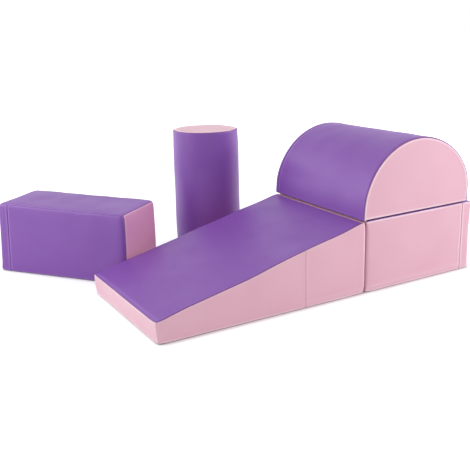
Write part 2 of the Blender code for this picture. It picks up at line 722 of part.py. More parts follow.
def build_cylinder(materials):
    """The upright cylinder. Its wall is one sheet that closes at the zip, on the module's +X."""
    parent = module_empty("cylinder", (CYLINDER_X, CYLINDER_Y, 0.0), CYLINDER_TURN)
    half_step = HALF_TURN / CYLINDER_STEPS
    middle = Vector((0.0, 0.0))
    full_turn = 2 * HALF_TURN
    ring = Arc(middle, CYLINDER_RADIUS, half_step, full_turn + half_step, CYLINDER_STEPS)
    stations = arc_stations(ring)[:-1]
    module = Module("cylinder", parent, stations, middle, CYLINDER_HEIGHT, UPRIGHT)
    crowned, flat = (CROWN, CROWNED_RING_SHARES), (0.0, FLAT_RING_SHARES)
    module.core(PLAIN_SHARES, flat, crowned, materials["foam"])
    trim = seam_turn(CYLINDER_RADIUS)
    edges = [Arc(middle, CYLINDER_RADIUS, trim, half_step, 1)]
    edges.append(ring._replace(stop=full_turn - half_step, steps=CYLINDER_STEPS - 1))
    edges.append(Arc(middle, CYLINDER_RADIUS, full_turn - half_step, full_turn - trim, 1))
    sheet = joined(*[arc_stations(arc) for arc in edges])
    rows = wrap_rows(CYLINDER_HEIGHT, PLAIN_SHARES)
    wall = module.wrap_panel("wall_panel", sheet, rows, materials["purple_cover"])
    module.end_panel("top_cap", 1, *crowned, materials["pink_cover"])
    module.end_panel("base_panel", -1, *flat, materials["non_slip_base"])
    seat = (CYLINDER_RADIUS - COVER_THICKNESS - FIT_GAP) * math.cos(half_step)
    face = seat + COVER_THICKNESS + FIT_GAP
    place = axes_from((0, 0, 1), (0, -1, 0), (1, 0, 0), (face, 0, CYLINDER_HEIGHT / 2))
    add_zip("cylinder", parent, wall, place, CYLINDER_ZIP_LENGTH, materials)


def main():
    clear_scene()
    materials = make_materials()
    build_step_block(materials)
    build_ramp(materials)
    build_half_round(materials)
    build_cuboid(materials)
    build_cylinder(materials)
    bpy.context.view_layer.update()


main()
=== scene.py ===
# A soft play climbing set: foam modules in sewn covers, with zips and hook-and-loop strips
import json
import math

import bmesh
import bpy
import numpy as np
from mathutils import Matrix, Vector
from mathutils.bvhtree import BVHTree
from mathutils.geometry import delaunay_2d_cdt
from mathutils.interpolate import poly_3d_calc


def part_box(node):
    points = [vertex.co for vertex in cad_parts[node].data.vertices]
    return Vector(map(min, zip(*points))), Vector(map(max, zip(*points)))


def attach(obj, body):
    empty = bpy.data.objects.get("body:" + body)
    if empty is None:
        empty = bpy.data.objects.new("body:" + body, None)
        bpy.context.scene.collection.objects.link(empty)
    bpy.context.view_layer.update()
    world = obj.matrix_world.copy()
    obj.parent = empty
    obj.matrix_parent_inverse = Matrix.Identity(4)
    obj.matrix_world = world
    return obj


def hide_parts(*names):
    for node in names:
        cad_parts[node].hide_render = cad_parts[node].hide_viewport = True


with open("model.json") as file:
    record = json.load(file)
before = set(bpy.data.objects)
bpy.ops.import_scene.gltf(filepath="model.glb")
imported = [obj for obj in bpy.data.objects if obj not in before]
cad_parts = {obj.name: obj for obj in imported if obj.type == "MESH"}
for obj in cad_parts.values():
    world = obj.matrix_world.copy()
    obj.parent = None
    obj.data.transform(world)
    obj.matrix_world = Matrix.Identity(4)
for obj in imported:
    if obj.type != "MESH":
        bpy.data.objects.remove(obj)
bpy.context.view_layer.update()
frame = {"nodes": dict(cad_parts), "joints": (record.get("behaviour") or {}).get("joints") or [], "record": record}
joints = {joint["name"]: joint for joint in frame["joints"]}
mounts = {mount["name"]: mount for mount in frame["record"]["mounts"]}
scene = bpy.context.scene
print("frame loaded,", len(frame["nodes"]), "nodes")

cover = {
    "edgeRadii": (0.0065, 0.003), "tightReach": (0.012, 0.030), "thickness": 0.0009,
    "meshStep": 0.0085, "seamStep": 0.0065, "seamGap": 0.00012, "turnOver": 0.0035,
    "rowPlaces": (0.0, 0.0003, 0.0008, 0.0015, 0.0025, 0.0039, 0.0060, 0.0090),
    "cornerRun": (0.0008, 0.0019, 0.0033, 0.0050, 0.0070, 0.0095),
    "foldRun": (0.0, 0.0016, 0.0033, 0.0051, 0.0070, 0.0092),
    "netClear": {"border": 0.6, "fold": 0.45, "slot": 0.5},
    "grooveDepth": 0.0023, "grooveWidth": 0.0009, "grooveVary": 0.35, "shade": 0.0018,
    "pinWidths": 3,
    "rubRise": (0.0008, 0.0026), "rubFall": (0.0040, 0.0090),
    "shoulder": {"rise": 0.0005, "place": 0.0042, "spread": 0.0026},
    "ridge": {"rise": 0.0010, "place": 0.0090, "spread": 0.0022},
    "puckerRise": 0.00035, "puckerLength": 0.017, "puckerReach": 0.014, "puckerFade": 0.020,
    "waveRise": 0.0007, "waveLength": 0.16, "stillReach": 0.035, "hair": 0.00001,
}


# Inputs of shader and geometry nodes take a value or a socket
def feed(tree, node, inputs):
    for name, value in inputs.items():
        if isinstance(value, bpy.types.NodeSocket):
            tree.links.new(value, node.inputs[name])
        else:
            node.inputs[name].default_value = value
    return node


def add(tree, kind, inputs=None, **settings):
    made = tree.nodes.new(kind)
    for name, value in settings.items():
        setattr(made, name, value)
    return feed(tree, made, inputs or {})


def output(tree, kind, inputs, which=0, **settings):
    return add(tree, kind, inputs, **settings).outputs[which]


def maths(tree, operation, first, second, **settings):
    return output(tree, "ShaderNodeMath", {0: first, 1: second}, operation=operation, **settings)


def vector(tree, x, y, z):
    return output(tree, "ShaderNodeCombineXYZ", {"X": x, "Y": y, "Z": z})


def mixColour(tree, share, first, second):
    ends = {6: first, 7: second}
    ends = {k: c if isinstance(c, bpy.types.NodeSocket) else (*c, 1.0) for k, c in ends.items()}
    return output(tree, "ShaderNodeMix", {0: share, **ends}, 2, data_type="RGBA")


def spread(tree, value, low, high, newLow, newHigh):
    ends = {"Value": value, "From Min": low, "From Max": high, "To Min": newLow, "To Max": newHigh}
    return output(tree, "ShaderNodeMapRange", ends)


def noise(tree, place, scale, detail, **more):
    return output(tree, "ShaderNodeTexNoise", {"Vector": place, "Scale": scale, "Detail": detail, **more})


def bump(tree, height, distance, **more):
    return output(tree, "ShaderNodeBump", {"Height": height, "Distance": distance, **more})


def newMaterial(name):
    material = bpy.data.materials.new(name)
    material.use_nodes = True
    return material, material.node_tree, material.node_tree.nodes["Principled BSDF"]


def objectPlace(tree):
    return output(tree, "ShaderNodeTexCoord", {}, "Object")


coverLook = {
    "cloudScale": 7.0, "cloudDetail": 3.0, "cloudRoughness": 0.55, "cloudEnds": (0.35, 0.65),
    "grainScale": 900.0, "grainHeight": 0.00008,
    "poreScale": 2600.0, "poreDetail": 1.0, "poreHeight": 0.00002,
    "roughness": (0.36, 0.46), "wearShare": 1.5, "shadeShare": 0.85, "specular": 0.5,
}
glossEnds = (0.3, 0.7)


# Coated cloth with a fine leather grain, a little paler along edges as wear and painted highlight, and a painted
# shade tone where shade falls in seams and gaps
def coverMaterial(name, tones):
    look = coverLook
    material, tree, shader = newMaterial(name)
    place = objectPlace(tree)
    rubbed, shaded = (
        output(tree, "ShaderNodeAttribute", {}, "Fac", attribute_name=mark) for mark in ("rubbed", "shaded")
    )
    cloud = noise(tree, place, look["cloudScale"], look["cloudDetail"], Roughness=look["cloudRoughness"])
    share = spread(tree, cloud, *look["cloudEnds"], 0.0, 1.0)
    ground = mixColour(tree, share, tones["colour"], tones["deep"])
    # Paler wear and painted highlight, where the wear and highlight mark is set
    wearHighlight = spread(tree, rubbed, 0.0, 1.0, 0.0, look["wearShare"])
    worn = mixColour(tree, maths(tree, "MULTIPLY", wearHighlight, cloud, use_clamp=True), ground, tones["worn"])
    # Painted shade: the seam tone is mixed in by the shaded mark, darkening seams, grooves, gaps and zip openings
    # where shade falls
    shade = spread(tree, shaded, 0.0, 1.0, 0.0, look["shadeShare"])
    cells = {"Vector": place, "Scale": look["grainScale"]}
    grain = bump(tree, output(tree, "ShaderNodeTexVoronoi", cells, "Distance"), look["grainHeight"])
    pores = noise(tree, place, look["poreScale"], look["poreDetail"])
    feed(tree, shader, {
        "Base Color": mixColour(tree, shade, worn, tones["seam"]),
        "Roughness": spread(tree, cloud, *glossEnds, *look["roughness"]),
        "Normal": bump(tree, pores, look["poreHeight"], Normal=grain),
        "Specular IOR Level": look["specular"],
    })
    return material


# Woven goods: crossing threads as two bands of waves, for strips, zip tape and the base cloth
def wovenMaterial(name, look):
    material, tree, shader = newMaterial(name)
    place = output(tree, "ShaderNodeUVMap", {}, uv_map="pattern")
    waves = {"Vector": place, "Scale": look["scale"], "Distortion": look["waver"]}
    threads = (output(tree, "ShaderNodeTexWave", waves, "Fac", bands_direction=way) for way in ("X", "Y"))
    weave = maths(tree, "MAXIMUM", *threads)
    feed(tree, shader, {
        "Base Color": mixColour(tree, weave, look["deep"], look["colour"]),
        "Normal": bump(tree, weave, look["height"]),
        "Roughness": look["roughness"], "Sheen Weight": look["sheen"],
    })
    return material


plainLook = {"detail": 4.0, "metallic": 0.0}


# Plain moulded or drawn goods: a colour with small clouds, and fine scratches or pores as bump
def mouldedMaterial(name, look):
    look = {**plainLook, **look}
    material, tree, shader = newMaterial(name)
    cloud = noise(tree, objectPlace(tree), look["scale"], look["detail"])
    feed(tree, shader, {
        "Base Color": mixColour(tree, cloud, look["deep"], look["colour"]),
        "Roughness": spread(tree, cloud, *glossEnds, *look["roughness"]),
        "Normal": bump(tree, cloud, look["height"]), "Metallic": look["metallic"],
    })
    return material


# Tones of each cover: its colour, a deep tone for random clouds, a paler worn tone that is wear and painted
# highlight, and a seam tone that is painted shade
coverTones = {
    "purple": {
        "colour": (0.229, 0.078, 0.411), "deep": (0.219, 0.072, 0.396),
        "worn": (0.35, 0.17, 0.56), "seam": (0.15, 0.040, 0.215),
    },
    "pink": {
        "colour": (0.792, 0.460, 0.560), "deep": (0.776, 0.440, 0.542),
        "worn": (0.93, 0.70, 0.79), "seam": (0.56, 0.20, 0.35),
    },
    "deeper pink": {
        "colour": (0.74, 0.335, 0.545), "deep": (0.72, 0.315, 0.525),
        "worn": (0.88, 0.57, 0.70), "seam": (0.48, 0.17, 0.31),
    },
    "paler pink": {
        "colour": (0.803, 0.498, 0.586), "deep": (0.787, 0.478, 0.568),
        "worn": (0.93, 0.72, 0.80), "seam": (0.60, 0.26, 0.40),
    },
}
goodsLooks = {
    "dusky base cloth": {
        "colour": (0.165, 0.115, 0.21), "deep": (0.10, 0.068, 0.135),
        "scale": 420.0, "waver": 0.6, "height": 0.0001, "roughness": 0.85, "sheen": 0.1,
    },
    "hook and loop cloth": {
        "colour": (0.055, 0.045, 0.065), "deep": (0.030, 0.024, 0.036),
        "scale": 380.0, "waver": 0.6, "height": 0.0001, "roughness": 0.9, "sheen": 0.2,
    },
    "zip tape": {
        "colour": (0.235, 0.11, 0.39), "deep": (0.16, 0.07, 0.28),
        "scale": 500.0, "waver": 0.6, "height": 0.00008, "roughness": 0.8, "sheen": 0.1,
    },
    "nylon pile": {
        "colour": (0.065, 0.055, 0.078), "deep": (0.045, 0.036, 0.055),
        "scale": 120.0, "height": 0.00001, "roughness": (0.5, 0.7),
    },
    "grip dots": {
        "colour": (0.135, 0.11, 0.16), "deep": (0.10, 0.08, 0.12),
        "scale": 200.0, "height": 0.00002, "roughness": (0.6, 0.75),
    },
    "zip nylon": {
        "colour": (0.25, 0.12, 0.41), "deep": (0.21, 0.095, 0.36),
        "scale": 300.0, "height": 0.00001, "roughness": (0.32, 0.42),
    },
    "zip metal": {
        "colour": (0.56, 0.56, 0.58), "deep": (0.48, 0.48, 0.50),
        "scale": 700.0, "height": 0.000003, "roughness": (0.26, 0.36), "metallic": 1.0,
    },
    "purple thread": {
        "colour": (0.27, 0.125, 0.44), "deep": (0.20, 0.085, 0.34),
        "scale": 900.0, "height": 0.00003, "roughness": (0.45, 0.6),
    },
    "pink thread": {
        "colour": (0.82, 0.50, 0.60), "deep": (0.70, 0.40, 0.49),
        "scale": 900.0, "height": 0.00003, "roughness": (0.45, 0.6),
    },
    "open cell foam": {
        "colour": (0.80, 0.77, 0.66), "deep": (0.70, 0.66, 0.53),
        "scale": 650.0, "height": 0.0006, "roughness": (0.9, 1.0),
    },
}
covers = {name: coverMaterial(f"{name} coated cloth", tones) for name, tones in coverTones.items()}
goods = {
    name: (wovenMaterial if "sheen" in look else mouldedMaterial)(name, look)
    for name, look in goodsLooks.items()
}
slotCloth = {
    "purple_cover": covers["purple"], "pink_cover": covers["pink"], "non_slip_base": goods["dusky base cloth"],
}
# Lit and shaded copies of the pink: painted shade on the cuboid's right end, painted light on the ramp's toe and
# the cylinder's cap
ownCloth = {
    "cuboid_right_end": covers["deeper pink"], "ramp_toe": covers["paler pink"],
    "cylinder_top_cap": covers["paler pink"],
}
print("materials ready")


def link(name, data):
    made = bpy.data.objects.new(name, data)
    scene.collection.objects.link(made)
    return made


# One finished piece: it rides on a body and may stand for CAD nodes, which it hides
def dress(piece, body, slot, *nodes):
    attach(piece, body)
    if nodes:
        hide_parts(*nodes)
    return piece


def newPiece(name, points, faces, material, uv=None, marks=None):
    mesh = bpy.data.meshes.new(name)
    mesh.from_pydata(np.asarray(points).tolist(), [], [list(map(int, face)) for face in faces])
    mesh.materials.append(material)
    if uv is not None:
        corners = np.zeros(len(mesh.loops), np.int32)
        mesh.loops.foreach_get("vertex_index", corners)
        layer = mesh.uv_layers.new(name="pattern")
        layer.data.foreach_set("uv", np.asarray(uv, np.float32)[corners].ravel())
    for mark, values in (marks or {}).items():
        mesh.attributes.new(mark, "FLOAT", "POINT").data.foreach_set("value", np.asarray(values, np.float32))
    mesh.shade_smooth()
    return link(name, mesh)


rippling = {"count": 7, "pace": (0.6, 1.5)}


# Soft random waves of about one wavelength, the same each run
def ripple(places, wavelength, seed):
    draw = np.random.default_rng(seed)
    places = np.asarray(places, float).reshape(len(places), -1)
    total = np.zeros(len(places))
    for _ in range(rippling["count"]):
        direction = draw.normal(size=places.shape[1])
        direction *= draw.uniform(*rippling["pace"]) / np.linalg.norm(direction)
        total += np.sin(places @ direction * (2 * math.pi / wavelength) + draw.uniform(0, 2 * math.pi))
    return total / math.sqrt(rippling["count"])


def smooth(share):
    share = np.clip(share, 0, 1)
    return share * share * (3 - 2 * share)


def hump(away, breadth):
    return np.exp(-(away / breadth) ** 2)


def unit(rows):
    return rows / np.linalg.norm(rows, axis=1)[:, None]


def turnLeft(rows):
    return np.column_stack([-rows[:, 1], rows[:, 0]])


def closeUp(loop):
    return np.vstack([loop, loop[:1]])


def runAlong(points):
    return np.concatenate([[0], np.cumsum(np.linalg.norm(np.diff(points, axis=0), axis=1))])


def resample(places, run, points):
    return np.column_stack([np.interp(places, run, points[:, k]) for k in (0, 1)])


# Outlines are convex loops, walked anticlockwise, made of sides that meet at corners
def arcPoints(centre, radius, start, stop, steps):
    angles = np.radians(np.linspace(start, stop, steps + 1))
    return np.column_stack([centre[0] + radius * np.cos(angles), centre[1] + radius * np.sin(angles)])


def roundCorners(x, y, radius, steps):
    signs = ((1, 1), (-1, 1), (-1, -1), (1, -1))
    return [arcPoints((a * x, b * y), radius, 90 * k, 90 * k + 90, steps) for k, (a, b) in enumerate(signs)]


def straightSides(corners):
    corners = np.array(corners, float)
    return [np.array([a, b]) for a, b in zip(corners, np.roll(corners, -1, axis=0))]


def closedLoop(sides):
    return np.vstack([side[:-1] for side in sides])


def edgeFrames(loop):
    edge = np.roll(loop, -1, axis=0) - loop
    tangent = unit(edge)
    return tangent, turnLeft(tangent), np.linalg.norm(edge, axis=1)


def insetLoop(loop, distance):
    inward = edgeFrames(loop)[1]
    before = np.roll(inward, 1, axis=0)
    return loop + (before + inward) * (distance / (1 + (before * inward).sum(1)))[:, None]


# Distance in from the border of a convex loop, and how far round the border that is
def borderOf(loop, points):
    tangent, inward, length = edgeFrames(loop)
    reach = points[:, None, :] - loop[None]
    gaps = (reach * inward[None]).sum(2)
    nearest = gaps.argmin(1)
    every = np.arange(len(points))
    start = np.concatenate([[0], np.cumsum(length)])
    along = (reach[every, nearest] * tangent[nearest]).sum(1)
    return gaps[every, nearest], start[nearest] + np.clip(along, 0, length[nearest] - 1e-9)


def nearestInside(loop, points):
    tangent, inward, length = edgeFrames(loop)
    reach = points[:, None, :] - loop[None]
    along = np.clip((reach * tangent[None]).sum(2), 0, length[None])
    feet = loop[None] + tangent[None] * along[..., None]
    nearest = np.linalg.norm(points[:, None, :] - feet, axis=2).argmin(1)
    inside = ((reach * inward[None]).sum(2) >= 0).all(1)
    return np.where(inside[:, None], points, feet[np.arange(len(points)), nearest])


def frameAt(axes, place):
    matrix = Matrix(axes).transposed().to_4x4()
    matrix.translation = place
    return matrix


# A zip's frame from its joints: along its travel, across the hinge of its pull, and outward
def zipFrame(name):
    along = Vector(joints[f"{name}_zip_travel"]["axis"]).normalized()
    across = Vector(joints[f"{name}_pull_swing"]["axis"]).normalized()
    outward = along.cross(across)
    low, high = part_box(f"{name}_zip_chain")
    coreLow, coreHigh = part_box(f"{name}_foam_core")
    if outward.dot((low + high) / 2 - (coreLow + coreHigh) / 2) < 0:
        outward, across = -outward, -across
    places = np.array([v.co for v in frame["nodes"][f"{name}_zip_chain"].data.vertices])
    spans = [places @ np.array(axis) for axis in (along, across, outward)]
    middle = [(span.min() + span.max()) / 2 for span in spans]
    place = along * middle[0] + across * middle[1] + outward * (spans[2].max() - zips["toothRise"])
    return frameAt((along, across, outward), place), float(spans[0].max() - spans[0].min())


# A module is its outline carried across its width, with every sharp edge rounded
def newModule(name, body, sides, width, axes, origin, seed, still, tight, **more):
    loop = closedLoop(sides)
    module = {
        "name": name, "body": body, "sides": sides, "width": width, "axes": np.array(axes, float),
        "origin": np.array(origin, float), "seed": seed, "still": still, "tight": tight, "loop": loop,
        "closed": closeUp(loop), "inward": closeUp(insetLoop(loop, 1.0) - loop), "run": runAlong(closeUp(loop)),
        "zip": zipFrame(name), "panels": {}, "softCorners": None, "shape": lambda local, calm: local, **more,
    }
    module["radii"] = module.get("radii", cover["edgeRadii"])
    module["inner"] = [insetLoop(loop, radius) for radius in module["radii"]]
    return module


# Where a place of a wrapped pattern lies: what is wider than the module turns in over its ends
def outlineAt(module, run, across):
    run = np.where(run < 0, run + module["run"][-1], np.mod(run, module["run"][-1] + 1e-9))
    spot, inward = (resample(run, module["run"], module[k]) for k in ("closed", "inward"))
    inside = np.clip(across, 0, module["width"])
    return spot + inward * abs(across - inside)[:, None], inside


def roundedBy(module, k, flat, across):
    radius = module["radii"][k]
    core = nearestInside(module["inner"][k], flat)
    deep = np.clip(across, radius, module["width"] - radius)
    outward = unit(np.column_stack([flat - core, across - deep]))
    return np.column_stack([core, deep]) + outward * radius, outward


# Edges that stand on or against another module are squarer than the free ones
def roundedPlaces(module, flat, across):
    full, outward = roundedBy(module, 0, flat, across)
    tight, turned = roundedBy(module, 1, flat, across)
    near, far = cover["tightReach"]
    share = 1 - smooth((module["tight"](flat, across) - near) / (far - near))[:, None]
    return full + (tight - full) * share, unit(outward + (turned - outward) * share)


# Long soft waves of stuffed covers, kept off the faces where modules stand or meet
def settle(module, local, outward):
    if module["softCorners"]:
        dip, reach = module["softCorners"]
        middle = np.array([*module["loop"].mean(0), module["width"] / 2])
        for side in module["sides"]:
            for across in (0.0, module["width"]):
                tip = np.array([*side[0], across])
                share = dip * hump(np.linalg.norm(local - tip, axis=1), reach)
                local = local + np.sign(middle - tip) / math.sqrt(3) * share[:, None]
    calm = np.ones(len(local))
    for point, normal in module["still"]:
        calm *= smooth((np.array(point) - local) @ np.array(normal, float) / cover["stillReach"])
    wave = ripple(local, cover["waveLength"], module["seed"])
    return module["shape"](local + outward * (cover["waveRise"] * calm * wave)[:, None], calm)


def toWorld(module, local, outward):
    return module["origin"] + local @ module["axes"], outward @ module["axes"]


# Stations along one side of a pattern: close together at its corners and at folds
def stationShares(length, folds, cornered):
    marks = {0.0, length}
    if cornered:
        marks |= set(cover["cornerRun"]) | {length - near for near in cover["cornerRun"]}
    for fold in folds:
        marks |= {fold + step for step in cover["foldRun"]} | {fold - step for step in cover["foldRun"]}
    marks = sorted(mark for mark in marks if 0 <= mark <= length)
    return evenSteps(marks, cover["seamStep"]) / length


def evenSteps(marks, step):
    run = []
    for low, high in zip(marks, marks[1:]):
        count = max(1, round((high - low) / step))
        run += [low + (high - low) * k / count for k in range(count)]
    return np.array(run)


def sideRun(side):
    tangent = unit(np.diff(side, axis=0))
    meet = unit(np.vstack([tangent[:1], tangent[:-1] + tangent[1:], tangent[-1:]]))
    return runAlong(side), turnLeft(meet), tangent


# One row of points at a distance in from the border, corner to corner on every side
def borderRow(sides, shares, distance, cornered):
    frames = [sideRun(side) for side in sides]
    row = []
    for k, (run, inward, tangent) in enumerate(frames):
        start, stop = 0.0, run[-1]
        if cornered:
            turns = (frames[k - 1][2][-1], tangent[0]), (tangent[-1], frames[(k + 1) % len(sides)][2][0])
            bends = [math.acos(max(-1.0, min(1.0, float(before @ after)))) for before, after in turns]
            trims = [distance / math.tan((math.pi - bend) / 2) for bend in bends]
            start, stop = trims[0], run[-1] - trims[1]
        along = start + shares[k] * (stop - start)
        row.append(resample(along, run, sides[k]) + unit(resample(along, run, inward)) * distance)
    return np.vstack(row)


def strips(first, second, count):
    ring = np.arange(count)
    after = (ring + 1) % count
    return np.column_stack([first + ring, first + after, second + after, second + ring]).tolist()


def stackFaces(count, levels):
    faces = [list(range(count))[::-1], list(range(count * (levels - 1), count * levels))]
    for k in range(levels - 1):
        faces += strips(k * count, (k + 1) * count, count)
    return faces


# The flat pattern of a panel: rows along its seams, and a net of even triangles between them
def patternNet(sides, slot, folds=(), sideFolds=None, step=cover["meshStep"], rowShare=1.0):
    cornered = len(sides) > 1
    lengths = [sideRun(side)[0][-1] for side in sides]
    sideFolds = sideFolds or [()] * len(sides)
    shares = [stationShares(length, marks, cornered) for length, marks in zip(lengths, sideFolds)]
    places = [place * rowShare for place in cover["rowPlaces"]]
    points = [borderRow(sides, shares, cover["seamGap"] + place, cornered) for place in places]
    count, base = len(points[0]), len(points[0]) * len(places)
    faces = []
    for k in range(len(places) - 1):
        faces += strips(k * count, (k + 1) * count, count)
    loops = [np.arange(base - count, base)]
    if slot is not None:
        slotRows = [slotRow(slot, place) for place in zips["rowPlaces"]]
        slotCount = len(slotRows[0])
        points += slotRows
        for k in range(len(slotRows) - 1):
            faces += strips(base + (k + 1) * slotCount, base + k * slotCount, slotCount)
        loops.append(np.arange(slotCount) + base + (len(slotRows) - 1) * slotCount)
    edgePoints = np.vstack(points)
    border = closedLoop(sides)
    net = evenNet(border, slot, folds, step, places[-1])
    places = [Vector(p) for p in np.vstack([*(edgePoints[loop] for loop in loops), net])]
    counts = np.cumsum([0] + [len(loop) for loop in loops])
    rings = [list(range(a, b)) for a, b in zip(counts, counts[1:])]
    _, _, cells, origins, _, _ = delaunay_2d_cdt(places, [], rings, 1, 1e-7)
    index = np.concatenate([*loops, np.arange(len(net)) + len(edgePoints)])
    points = np.vstack([edgePoints, net])
    for cell in cells:
        corners = [int(index[origins[v][0]]) for v in cell]
        if slot is None or slotDistance(slot, points[corners].mean(0)[None])[0] > 0:
            faces.append(corners)
    return {
        "points": points, "faces": faces, "border": border, "free": base - count,
        "lengths": lengths, "rowLength": count,
    }


def evenNet(border, slot, folds, step, lastRow):
    share = cover["netClear"]
    low, high = border.min(0), border.max(0)
    lift = step * math.sqrt(3) / 2
    net = []
    for j in range(int((high[1] - low[1]) / lift) + 1):
        xs = np.arange(low[0] + step * (0.25 + 0.5 * (j % 2)), high[0], step)
        net.append(np.column_stack([xs, np.full(len(xs), low[1] + lift * (j + 0.5))]))
    net = np.vstack(net)
    clear = lastRow + share["border"] * step
    for fold in folds:
        net = net[abs(net[:, 0] - fold) > cover["foldRun"][-1] + share["fold"] * step]
        ys = np.arange(low[1] + clear, high[1] - clear, step)
        for offset in sorted({*cover["foldRun"], *(-d for d in cover["foldRun"])}):
            net = np.vstack([net, np.column_stack([np.full(len(ys), fold + offset), ys])])
    net = net[borderOf(border, net)[0] > clear]
    if slot is not None:
        net = net[slotDistance(slot, net) > zips["rowPlaces"][-1] + share["slot"] * step]
    return net


zips = {
    "rowPlaces": (0.0, 0.0003, 0.0008, 0.0016, 0.0028, 0.0045), "slotWidth": 0.0090, "slotCorner": 0.0022,
    "shorter": 0.003, "flatReach": 0.004, "riseReach": 0.035, "toothRise": 0.0012, "cornerSteps": 4,
    "foldDepth": 0.0007, "foldWidth": 0.0004, "foldRise": 0.0003, "foldPlace": 0.0015,
    "tapeWidth": 0.0120, "tapeLevels": (-0.0015, -0.00095), "endRoom": 0.0035,
    "tooth": {
        "Pitch": 0.0020, "Side": 0.00135, "Lift": 0.00025,
        "Thick": 0.0015, "Wide": 0.0030, "High": 0.0019,
    },
}


# The opening for a zip: a long rectangle with round corners, and rows of points round it
def zipSlot(module, along, turned=False):
    matrix, length = module["zip"]
    half = np.array([length - 2 * zips["shorter"], zips["slotWidth"]]) / 2 - zips["slotCorner"]
    up = matrix.translation.z - module["origin"][2]
    return {"half": half[::-1] if turned else half, "centre": np.array((along, up))}


def slotRow(slot, distance):
    quarters = roundCorners(*slot["half"], zips["slotCorner"] + distance, zips["cornerSteps"])
    ring = []
    for quarter, following in zip(quarters, quarters[1:] + quarters[:1]):
        ring.append(quarter)
        a, b = quarter[-1], following[0]
        count = max(1, round(float(np.linalg.norm(b - a)) / cover["seamStep"]))
        ring.append(a + (b - a) * (np.arange(1, count) / count)[:, None])
    return np.vstack(ring) + slot["centre"]


def slotDistance(slot, points):
    beyond = np.maximum(abs(points - slot["centre"]) - slot["half"], 0)
    return np.linalg.norm(beyond, axis=1) - zips["slotCorner"]


usualTraits = {
    "free": True, "fullness": 1.0, "ridge": (), "crease": None, "stitched": None,
    "groove": {}, "shade": {}, "rub": {},
}


# A panel: its pattern laid on the module, then sewn at the border so that it dips into the seams
# Traits may give some of its sides a shallower groove, a wider painted shade or less of the paler wear and painted
# highlight
def addPanel(module, part, colour, sides, lay, slot=None, pattern=None, **given):
    panel = {**usualTraits, **given}
    net = patternNet(sides, slot, **(pattern or {}))
    plain, outward = roundedPlaces(module, *lay(net["points"]))
    points, normals = toWorld(module, settle(module, plain, outward), outward)
    distance, along = borderOf(net["border"], net["points"])
    corners = np.cumsum([0] + net["lengths"])
    sideOf = np.clip(np.searchsorted(corners, along, side="right") - 1, 0, len(sides) - 1)
    for look, usual in (("groove", 1.0), ("shade", cover["shade"]), ("rub", 1.0)):
        panel[look] = np.array([panel[look].get(k, usual) for k in range(len(sides))])[sideOf]
    panel["ridge"] = np.isin(sideOf, panel["ridge"])
    toCorner = abs(along[:, None] - corners[None]).min(1) if len(sides) > 1 else np.ones(len(along))
    faces = net["faces"]
    a, b, c = (points[faces[0][k]] for k in range(3))
    if np.cross(b - a, c - a) @ normals[faces[0][0]] < 0:
        faces = [face[::-1] for face in faces]
    module["panels"][part] = {
        **panel, "name": f"{module['name']}_{part}", "colour": colour, "net": net, "points": points,
        "plain": toWorld(module, plain, outward)[0], "normals": normals, "faces": faces,
        "distance": distance, "along": along, "toCorner": toCorner, "slot": slot,
        "seed": module["seed"] + len(module["panels"]),
    }


def wrapPanel(
    module, part, colour, start, stop, low=0.0, high=None, folds=(), shift=0.0, pattern=None, **more
):
    high = module["width"] if high is None else high
    sides = straightSides([(start, low), (stop, low), (stop, high), (start, high)])
    sideFolds = [[fold - start for fold in folds], (), [stop - fold for fold in folds], ()]

    def lay(points):
        return outlineAt(module, points[:, 0] - shift, points[:, 1])

    pattern = {"folds": folds, "sideFolds": sideFolds, **(pattern or {})}
    addPanel(module, part, colour, sides, lay, pattern=pattern, **more)


# An end's pattern may be cut larger than the end: what is over turns round the edge
def endPanel(module, part, colour, across, sides=None, **more):
    def lay(points):
        flat = nearestInside(module["loop"], points)
        over = np.linalg.norm(points - flat, axis=1)
        return flat, across - over if across else over

    addPanel(module, part, colour, sides or module["sides"], lay, **more)


def addBase(module):
    endPanel(module, "base", "non_slip_base", 0.0, free=False)


stuffing = {
    "frames": 20, "quality": 5, "pressure": 4.0, "tension": 60.0, "shear": 30.0, "bending": 15.0,
    "mass": 0.3, "cap": 0.0035,
}


# Free panels of a module as one cloth, held along their seams and slots
def makeCloth(module):
    points, faces, held, shares = [], [], [], []
    total = 0
    for panel in (panel for panel in module["panels"].values() if panel["free"]):
        start = panel["net"]["free"]
        points.append(panel["points"][start:])
        faces += [[v - start + total for v in face] for face in panel["faces"] if min(face) >= start]
        rim = panel["distance"][start:] < cover["rowPlaces"][-1] + cover["seamGap"] + cover["hair"]
        if panel["slot"] is not None:
            beside = slotDistance(panel["slot"], panel["net"]["points"][start:])
            rim |= beside < zips["rowPlaces"][-1] + cover["hair"]
        held += (np.nonzero(rim)[0] + total).tolist()
        shares.append((panel, start, total))
        total += len(points[-1])
    cloth = newPiece(f"{module['name']}_stuffing", np.vstack(points), faces, goods["open cell foam"])
    cloth.vertex_groups.new(name="seams").add(held, 1.0, "REPLACE")
    modifier = cloth.modifiers.new("cloth", "CLOTH")
    values = modifier.settings
    values.quality = stuffing["quality"]
    values.mass = stuffing["mass"]
    values.tension_stiffness = values.compression_stiffness = stuffing["tension"]
    values.shear_stiffness = stuffing["shear"]
    values.bending_stiffness = stuffing["bending"]
    values.use_pressure = True
    values.uniform_pressure_force = stuffing["pressure"]
    values.effector_weights.gravity = 0.0
    values.vertex_group_mass = "seams"
    modifier.point_cache.frame_start, modifier.point_cache.frame_end = 1, stuffing["frames"]
    return cloth, shares


